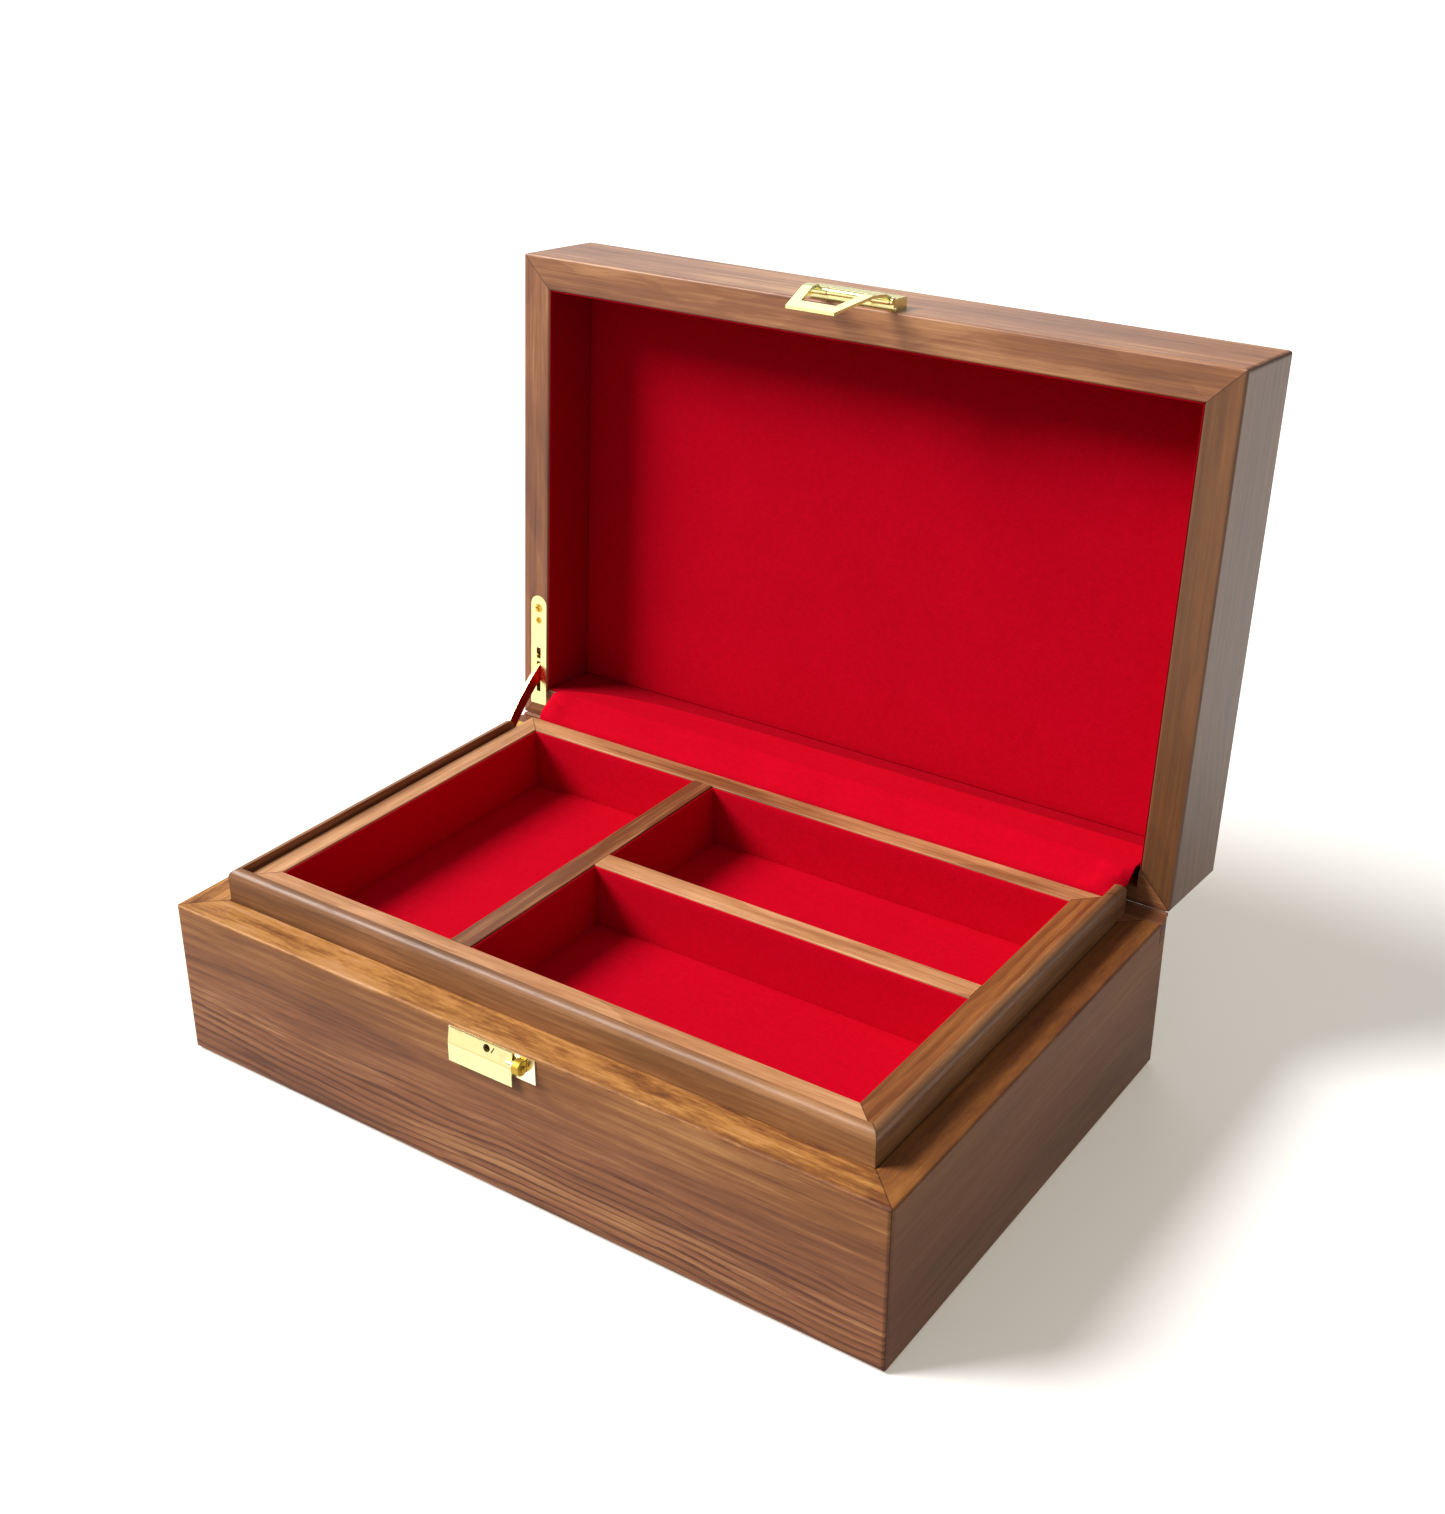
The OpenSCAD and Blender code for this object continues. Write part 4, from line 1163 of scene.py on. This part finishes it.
@dataclass
class Metalwork:
    """The brass fittings: pale plates, a paler mount, deep gold turned parts and an arm whose red sides are a
    painted reflection of the velvet.
    """

    nodes: dict[Metal, tuple[str, ...]] = field(
        default_factory=lambda: {
            Metal.PALE: (
                "clasp_housing", "clasp_bail", "stay_leaf", "hinge_base_leaf_left",
                "hinge_base_leaf_right", "hinge_lid_leaf_left", "hinge_lid_leaf_right",
            ),
            Metal.MOUNT: ("catch_backplate",),
            Metal.LEVER: ("catch_lever",),
            Metal.TURNED: (
                "hinge_pin_left", "hinge_pin_right", "stay_plate", "hinge_base_screws",
                "hinge_lid_screws", "stay_plate_screw", "stay_leaf_screws", "catch_screw", "clasp_pin",
            ),
            Metal.AGED: ("catch_pin",),
            Metal.ARM: ("stay_arm",),
        }
    )

    def build(self, frame: dict[str, Any]) -> None:
        """Dresses every brass node.
        """
        for metal, nodes in self.nodes.items():
            brass = metal.value.material(f"{metal.name.lower()}_brass")
            for node in nodes:
                dress(frame, node, brass)
                LOG.info("brass %s", node)


@dataclass
class TrayVelvet:
    """The three lined compartments of the tray."""

    nodes: tuple[str, ...] = ("lining_left", "lining_front", "lining_rear")

    def build(self, maker: Upholsterer) -> None:
        """Makes the three linings.

        Args:
            maker: Who makes the panels.
        """
        for node in self.nodes:
            piece = maker.piece(f"velvet_{node}", Nest(*in_mm(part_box(node))).panels())
            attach(piece, "tray")
            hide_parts(node)
            LOG.info("velvet %s: %d faces", node, len(piece.data.polygons))


@dataclass
class LidVelvet:
    """The padded velvet in the lid, in millimetres: a large pad and four side linings."""

    half_x: float = 136.4
    half_y: float = 84.4
    pad_up: float = 26.1
    pad_thick: float = 4.2
    pad_crown: float = 0.8
    pad_play: float = 0.1
    side_thick: float = 0.5
    side_tall: float = 28.6
    side_low: float = 0.5
    notch_wide: float = 4.9
    notch_up: float = 13.5
    side_flat_m: tuple[float, float] = (0.0286, 0.883)

    def at(self, x: float, back: float, up: float) -> Vector:
        """A point of the lid in millimetres, from its place in the shut lid."""
        return HINGE * TO_MM + Vector((x, 0, 0)) + LID_FORWARD * (HINGE_BACK_MM - back) + LID_UP * up

    def build(self, maker: Upholsterer, shaded: bpy.types.Material) -> None:
        """Makes the pad and the linings.

        Args:
            maker: Who makes the panels.
            shaded: The linings' velvet, a darker copy that paints the shade inside the lid's rails.
        """
        pad = Panel(
            2 * self.half_x - self.pad_play, 2 * self.half_y - self.pad_play,
            self.pad_thick - self.pad_play, self.pad_crown,
            placed(self.at(0, 0, self.pad_up + self.pad_thick), (1, 0, 0), -LID_UP),
            ripple=0.5, edge=0.5,
        )
        piece = maker.piece("velvet_lid_pad", [pad])
        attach(piece, "lid")
        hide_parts("lid_pad")
        lining = maker.piece("velvet_lid_sides", self._sides(), shaded)
        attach(lining, "lid")
        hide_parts("lid_side_lining")
        LOG.info("velvet lid: %d faces", len(piece.data.polygons) + len(lining.data.polygons))

    def _sides(self) -> list[Panel]:
        """Lays out the linings, with a notch at the right end of the back one.

        Returns:
            The panels.
        """
        thick, notch = self.side_thick, self.notch_wide
        up = self.side_low + self.side_tall / 2
        top = self.side_low + self.side_tall
        front, back = -self.half_y - thick, self.half_y + thick
        strips = [
            (0.0, front, up, 2 * self.half_x, self.side_tall, -1),
            (-notch / 2, back, up, 2 * self.half_x - notch, self.side_tall, 1),
            (self.half_x - notch / 2, back, (self.notch_up + top) / 2, notch, top - self.notch_up, 1),
        ]
        sides = [
            Panel(
                wide, tall, thick, 0.0, placed(self.at(x, y, at), (1, 0, 0), LID_FORWARD * sign),
                ripple=0.1, edge=0.2,
            )
            for x, y, at, wide, tall, sign in strips
        ]
        for sign in (-1, 1):
            middle = self.at(sign * (self.half_x + thick), 0, up)
            sides.append(
                Panel(
                    2 * self.half_y, self.side_tall, thick, 0.0,
                    placed(middle, LID_FORWARD, (-sign, 0, 0)), ripple=0.1, edge=0.2,
                )
            )
        return sides


@dataclass
class WellVelvet:
    """The velvet in the well under the tray, in millimetres."""

    pad_crown: float = 0.5
    side_thick: float = 0.6

    def build(self, maker: Upholsterer) -> None:
        """Makes the floor pad and the strip round the sides.

        Args:
            maker: Who makes the panels.
        """
        (x0, y0, z0), (x1, y1, z1) = in_mm(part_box("well_floor_pad"))
        place = placed(((x0 + x1) / 2, (y0 + y1) / 2, z0), (1, 0, 0), (0, 0, 1))
        piece = maker.piece("velvet_well_floor", [Panel(x1 - x0, y1 - y0, z1 - z0, self.pad_crown, place)])
        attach(piece, "base")
        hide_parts("well_floor_pad")
        (x0, y0, z0), (x1, y1, z1) = in_mm(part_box("well_side_lining"))
        tall, up = z1 - z0, (z0 + z1) / 2
        mid = ((x0 + x1) / 2, (y0 + y1) / 2)
        strips = [
            (x1 - x0, (mid[0], y0, up), (-1, 0, 0), (0, 1, 0)),
            (x1 - x0, (mid[0], y1, up), (1, 0, 0), (0, -1, 0)),
            (y1 - y0, (x0, mid[1], up), (0, 1, 0), (1, 0, 0)),
            (y1 - y0, (x1, mid[1], up), (0, -1, 0), (-1, 0, 0)),
        ]
        sides = [
            Panel(wide, tall, self.side_thick, 0.0, placed(at, along, facing), ripple=0.1, edge=0.2)
            for wide, at, along, facing in strips
        ]
        lining = maker.piece("velvet_well_sides", sides)
        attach(lining, "base")
        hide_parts("well_side_lining")
        round_it = 2 * (x1 - x0 + y1 - y0) * MM
        tall * MM
        LOG.info("velvet well: %d faces", len(piece.data.polygons) + len(lining.data.polygons))


@dataclass(frozen=True)
class Wave:
    """A shallow wave in the cloth: its height in millimetres, and its turn across and along."""

    height: float
    across: float
    along: float = 0.0
    start: float = 0.0

    def at(self, x: float, step: int) -> float:
        """The wave's height at a place across the box and a step along the section."""
        return self.height * math.sin(x * self.across + step * self.along + self.start)


@dataclass
class Flap:
    """The loose velvet that bridges the tray well and the open lid, in millimetres.

    The line is its section, from the back of the well to the lid. The cloth spreads sideways once
    it is over the tray, puffs up near its side edges, droops at them, and has its left corner cut
    back. The rail and hinge sizes keep it clear of the tray when the lid shuts.
    """

    left: float = -128.2
    right: float = 131.5
    spread: tuple[float, float] = (3.0, 4.2)
    spread_from: float = 84.0
    spread_over: float = 7.0
    puff: float = 1.2
    puff_in: float = 6.0
    puff_wide: float = 4.5
    droop: float = 2.2
    droop_wide: float = 1.8
    droop_at: float = 91.5
    droop_long: float = 4.5
    waves: tuple[Wave, Wave] = (Wave(0.22, 0.061, start=1.3), Wave(0.14, 0.17, 0.09))
    thick: float = 0.6
    edge: float = 0.22
    edge_angle: float = math.radians(60)
    columns: int = 200
    lid_from: float = 90.0
    corner: float = 19.0
    corner_wide: float = 22.0
    rail_from: float = 91.0
    rail_room: float = 0.62
    hinge_reach: float = 15.85
    line: tuple[tuple[float, float], ...] = (
        (83.45, 54.2), (83.45, 60.0), (83.45, 66.0), (83.6, 70.2), (84.6, 72.6), (87.0, 74.3),
        (90.5, 75.6), (95.0, 77.1), (98.6, 78.3), (102.0, 78.6), (106.0, 78.3), (111.0, 77.95), (116.2, 77.5),
    )

    def profile(self, steps: int = 5) -> list[Vector]:
        """Runs a smooth line through the section's points.

        Args:
            steps: The line's steps between two points.

        Returns:
            The places on the line.
        """
        points = [Vector((0, y, z)) for y, z in self.line]
        padded = [2 * points[0] - points[1], *points, 2 * points[-1] - points[-2]]
        out: list[Vector] = []
        for i in range(1, len(padded) - 2):
            before, here, there, after = padded[i - 1 : i + 3]
            for k in range(steps):
                t = k / steps
                out.append(
                    0.5
                    * (
                        2 * here
                        + (there - before) * t
                        + (2 * before - 5 * here + 4 * there - after) * t**2
                        + (3 * here - before - 3 * there + after) * t**3
                    )
                )
        out.append(points[-1])
        return out

    @staticmethod
    def height(section: Sequence[Vector], y: float) -> float:
        """Finds the height of the section's far part, where it only runs backwards.

        Args:
            section: The places on the section.
            y: The place along the flap.

        Returns:
            The height.
        """
        for a, b in zip(section, section[1:]):
            if a.y <= y <= b.y and b.y > a.y:
                return a.z + (b.z - a.z) * (y - a.y) / (b.y - a.y)
        return section[-1].z

    def ceiling(self, y: float) -> float:
        """Finds how high the cloth may lie near the lid, so that it clears the tray when the lid shuts.

        Args:
            y: The place along the flap.

        Returns:
            The greatest height.
        """
        if y < self.rail_from:
            return math.inf
        slope = math.cos(LID_ANGLE) / math.sin(LID_ANGLE)
        over_rail = LID_RAIL_FACE.z + (y - LID_RAIL_FACE.y) * slope + self.rail_room
        ahead = HINGE.y / MM - y
        if ahead < 0:
            return over_rail
        return min(over_rail, HINGE.z / MM + math.sqrt(self.hinge_reach**2 - ahead**2))

    def spot(self, section: Sequence[Vector], x: float, step: int) -> Point:
        """Places one point of the cloth.

        Args:
            section: The places on the section.
            x: The place across the box, before the cloth spreads.
            step: The point's step along the section.

        Returns:
            The point.
        """
        last = len(section) - 1
        end, y, z = section[last].y, section[step].y, section[step].z
        if y > self.lid_from:
            far = end - self.corner * math.exp(-(x - self.left) / self.corner_wide)
            y = self.lid_from + (y - self.lid_from) * (far - self.lid_from) / (end - self.lid_from)
            z = self.height(section, y)
        out = self.spread[0] if x < 0 else self.spread[1]
        share = min(1.0, max(0.0, (y - self.spread_from) / self.spread_over))
        wide = x + out * share * (2 * (x - self.left) / (self.right - self.left) - 1)
        inset = min(x - self.left, self.right - x)
        free = math.sin(math.pi * step / last)
        ripple = sum(wave.at(x, step) for wave in self.waves)
        puff = self.puff * math.exp(-(((inset - self.puff_in) / self.puff_wide) ** 2))
        fall = self.droop * math.exp(-((inset / self.droop_wide) ** 2))
        fall = fall * math.exp(-(((y - self.droop_at) / self.droop_long) ** 2))
        return wide, y, min(z + free * (ripple + puff) - fall, self.ceiling(y))

    def sweep(self, section: Sequence[Vector]) -> bpy.types.Mesh:
        """Sweeps the section across the box.

        Args:
            section: The places on the section.

        Returns:
            The cloth's middle surface, in metres.
        """
        work = bmesh.new()
        rows = []
        for column in range(self.columns + 1):
            x = self.left + (self.right - self.left) * column / self.columns
            rows.append([work.verts.new(self.spot(section, x, step)) for step in range(len(section))])
        for left, right in zip(rows, rows[1:]):
            for i in range(len(section) - 1):
                work.faces.new((left[i], right[i], right[i + 1], left[i + 1]))
        bmesh.ops.scale(work, vec=(MM, MM, MM), verts=work.verts)
        mesh = bpy.data.meshes.new("velvet_flap_cloth")
        work.to_mesh(mesh)
        work.free()
        return mesh

    def build(self, cloth: bpy.types.Material) -> bpy.types.Object:
        """Sweeps the section and gives the cloth its thickness.

        Args:
            cloth: The velvet.

        Returns:
            The flap.
        """
        section = self.profile()
        mesh = self.sweep(section)
        mesh.materials.append(cloth)
        made = bpy.data.objects.new("velvet_flap_cloth", mesh)
        bpy.context.scene.collection.objects.link(made)
        wall = made.modifiers.new("wall", "SOLIDIFY")
        wall.thickness, wall.offset = self.thick * MM, 0
        edge = made.modifiers.new("edge", "BEVEL")
        edge.width, edge.segments = self.edge * MM, 2
        edge.limit_method, edge.angle_limit = "ANGLE", self.edge_angle
        ready = made.evaluated_get(bpy.context.evaluated_depsgraph_get())
        final = bpy.data.meshes.new_from_object(ready)
        made.modifiers.clear()
        made.data = final
        final.shade_smooth()
        length = sum((b - a).length for a, b in zip(section, section[1:]))
        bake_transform(made)
        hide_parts("velvet_flap")
        size = ((self.right - self.left + sum(self.spread)) * MM, round(length * MM, 4))
        LOG.info("flap: %.1f mm long, %d faces", length, len(final.polygons))
        return made


@dataclass
class FeltSole:
    """The felt under the base, in millimetres."""

    edge: float = 0.3
    cell: float = 8.0

    def build(self, maker: Upholsterer, finish: Felt) -> None:
        """Makes the felt.

        Args:
            maker: Who makes the panel.
            finish: The felt's finish.
        """
        (x0, y0, z0), (x1, y1, z1) = in_mm(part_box("base_felt"))
        felt = finish.material("dark_felt")
        place = placed(((x0 + x1) / 2, (y0 + y1) / 2, z1), (1, 0, 0), (0, 0, -1))
        sole = Panel(x1 - x0, y1 - y0, z1 - z0, 0.0, place, ripple=0.0, edge=self.edge, cell=self.cell)
        piece = maker.piece("felt_sole", [sole], felt)
        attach(piece, "base")
        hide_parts("base_felt")
        (y1 - y0) * MM
        (x1 - x0) * MM
        LOG.info("felt: %d faces", len(piece.data.polygons))


@dataclass
class Studio:
    """Floor, lights and camera."""

    camera_at: Point = (0.3633, -0.4931, 0.4311)
    azimuth: float = 34.58
    elevation: float = 26.60
    lens: float = 46.98
    sensor_width: float = 36
    clip: tuple[float, float] = (0.01, 100)
    sun_towards: Point = (-0.66, -0.40, 0.66)
    sun_strength: float = 4.9
    sun_width: float = 27.0
    sun_colour: Colour = (1.0, 0.985, 0.96)
    world_strength: float = 0.30
    card_at: Point = (-2.2, 3.2, 2.1)
    card_size: float = 2.4
    card_strength: float = 1.5
    floor_size: float = 40
    floor_colours: tuple[Colour, Colour] = ((0.85, 0.85, 0.86), (0.87, 0.87, 0.88))
    floor_glow: Colour = (1.0, 0.90, 0.70)
    floor_glow_strength: float = 0.28

    def build(self) -> None:
        """Makes the floor, the lights and the camera."""
        self._floor()
        self._sun()
        self._window()
        self._surround()
        self._camera()

    def _floor(self) -> None:
        """A large plain pale floor with a faint warm glow. It sends no soft light back to the box."""
        bpy.ops.mesh.primitive_plane_add(size=self.floor_size)
        floor = bpy.context.object
        floor.name = "studio_floor"
        material, g, shader, place = new_material("pale_floor")
        speck = g.noise(place, 60.0, 3.0)
        feed(
            g, shader, Base_Color=g.mix(speck, *self.floor_colours), Roughness=0.85,
            Emission_Color=(*self.floor_glow, 1), Emission_Strength=self.floor_glow_strength,
        )
        floor.data.materials.append(material)
        floor.visible_diffuse = False

    def _sun(self) -> None:
        """One wide soft key light from the left front."""
        sun = bpy.data.lights.new("key", "SUN")
        sun.energy, sun.angle = self.sun_strength, math.radians(self.sun_width)
        sun.color = self.sun_colour
        key = bpy.data.objects.new("key", sun)
        key.rotation_euler = Vector(self.sun_towards).to_track_quat("Z", "Y").to_euler()
        bpy.context.scene.collection.objects.link(key)

    def _window(self) -> None:
        """A square light from the left behind, like a window."""
        window = bpy.data.lights.new("window", "AREA")
        window.shape, window.size = "SQUARE", self.card_size
        window.energy = self.card_strength * math.pi * self.card_size**2
        panel = bpy.data.objects.new("window", window)
        panel.location = self.card_at
        panel.rotation_euler = Vector(self.card_at).to_track_quat("Z", "Y").to_euler()
        bpy.context.scene.collection.objects.link(panel)

    def _surround(self) -> None:
        """An even white surround, and colours that are shown as they are."""
        world = bpy.data.worlds.new("surround")
        world.use_nodes = True
        shade = world.node_tree.nodes["Background"]
        shade.inputs["Color"].default_value = (1, 1, 1, 1)
        shade.inputs["Strength"].default_value = self.world_strength
        bpy.context.scene.world = world
        bpy.context.scene.view_settings.view_transform = "Standard"

    def _camera(self) -> None:
        """The camera, looking at the box from its right front and above."""
        data = bpy.data.cameras.new("camera")
        data.lens, data.sensor_width, data.sensor_fit = self.lens, self.sensor_width, "AUTO"
        data.clip_start, data.clip_end = self.clip
        camera = bpy.data.objects.new("camera", data)
        a, e = math.radians(self.azimuth), math.radians(self.elevation)
        look = Vector((-math.sin(a) * math.cos(e), math.cos(a) * math.cos(e), -math.sin(e)))
        camera.location = self.camera_at
        camera.rotation_euler = look.to_track_quat("-Z", "Y").to_euler()
        bpy.context.scene.collection.objects.link(camera)
        bpy.context.scene.camera = camera


def main() -> None:
    """Builds the dressed box."""
    logging.basicConfig(level=logging.INFO, format="%(message)s")
    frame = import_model()
    Studio().build()
    Boards().build(frame)
    Metalwork().build(frame)
    velvet = Velvet().material("red_velvet")
    # Painted shade: a darker copy of the velvet for the lid's side linings, which lie in the shade of the
    # rails.
    velvet_painted_shade = Velvet((0.30, 0.0, 0.006), (0.40, 0.0004, 0.011)).material("brushed_velvet")
    maker = Upholsterer(velvet)
    TrayVelvet().build(maker)
    LidVelvet().build(maker, velvet_painted_shade)
    WellVelvet().build(maker)
    FeltSole().build(maker, Felt())
    Flap().build(velvet)


if __name__ == "__main__":
    main()
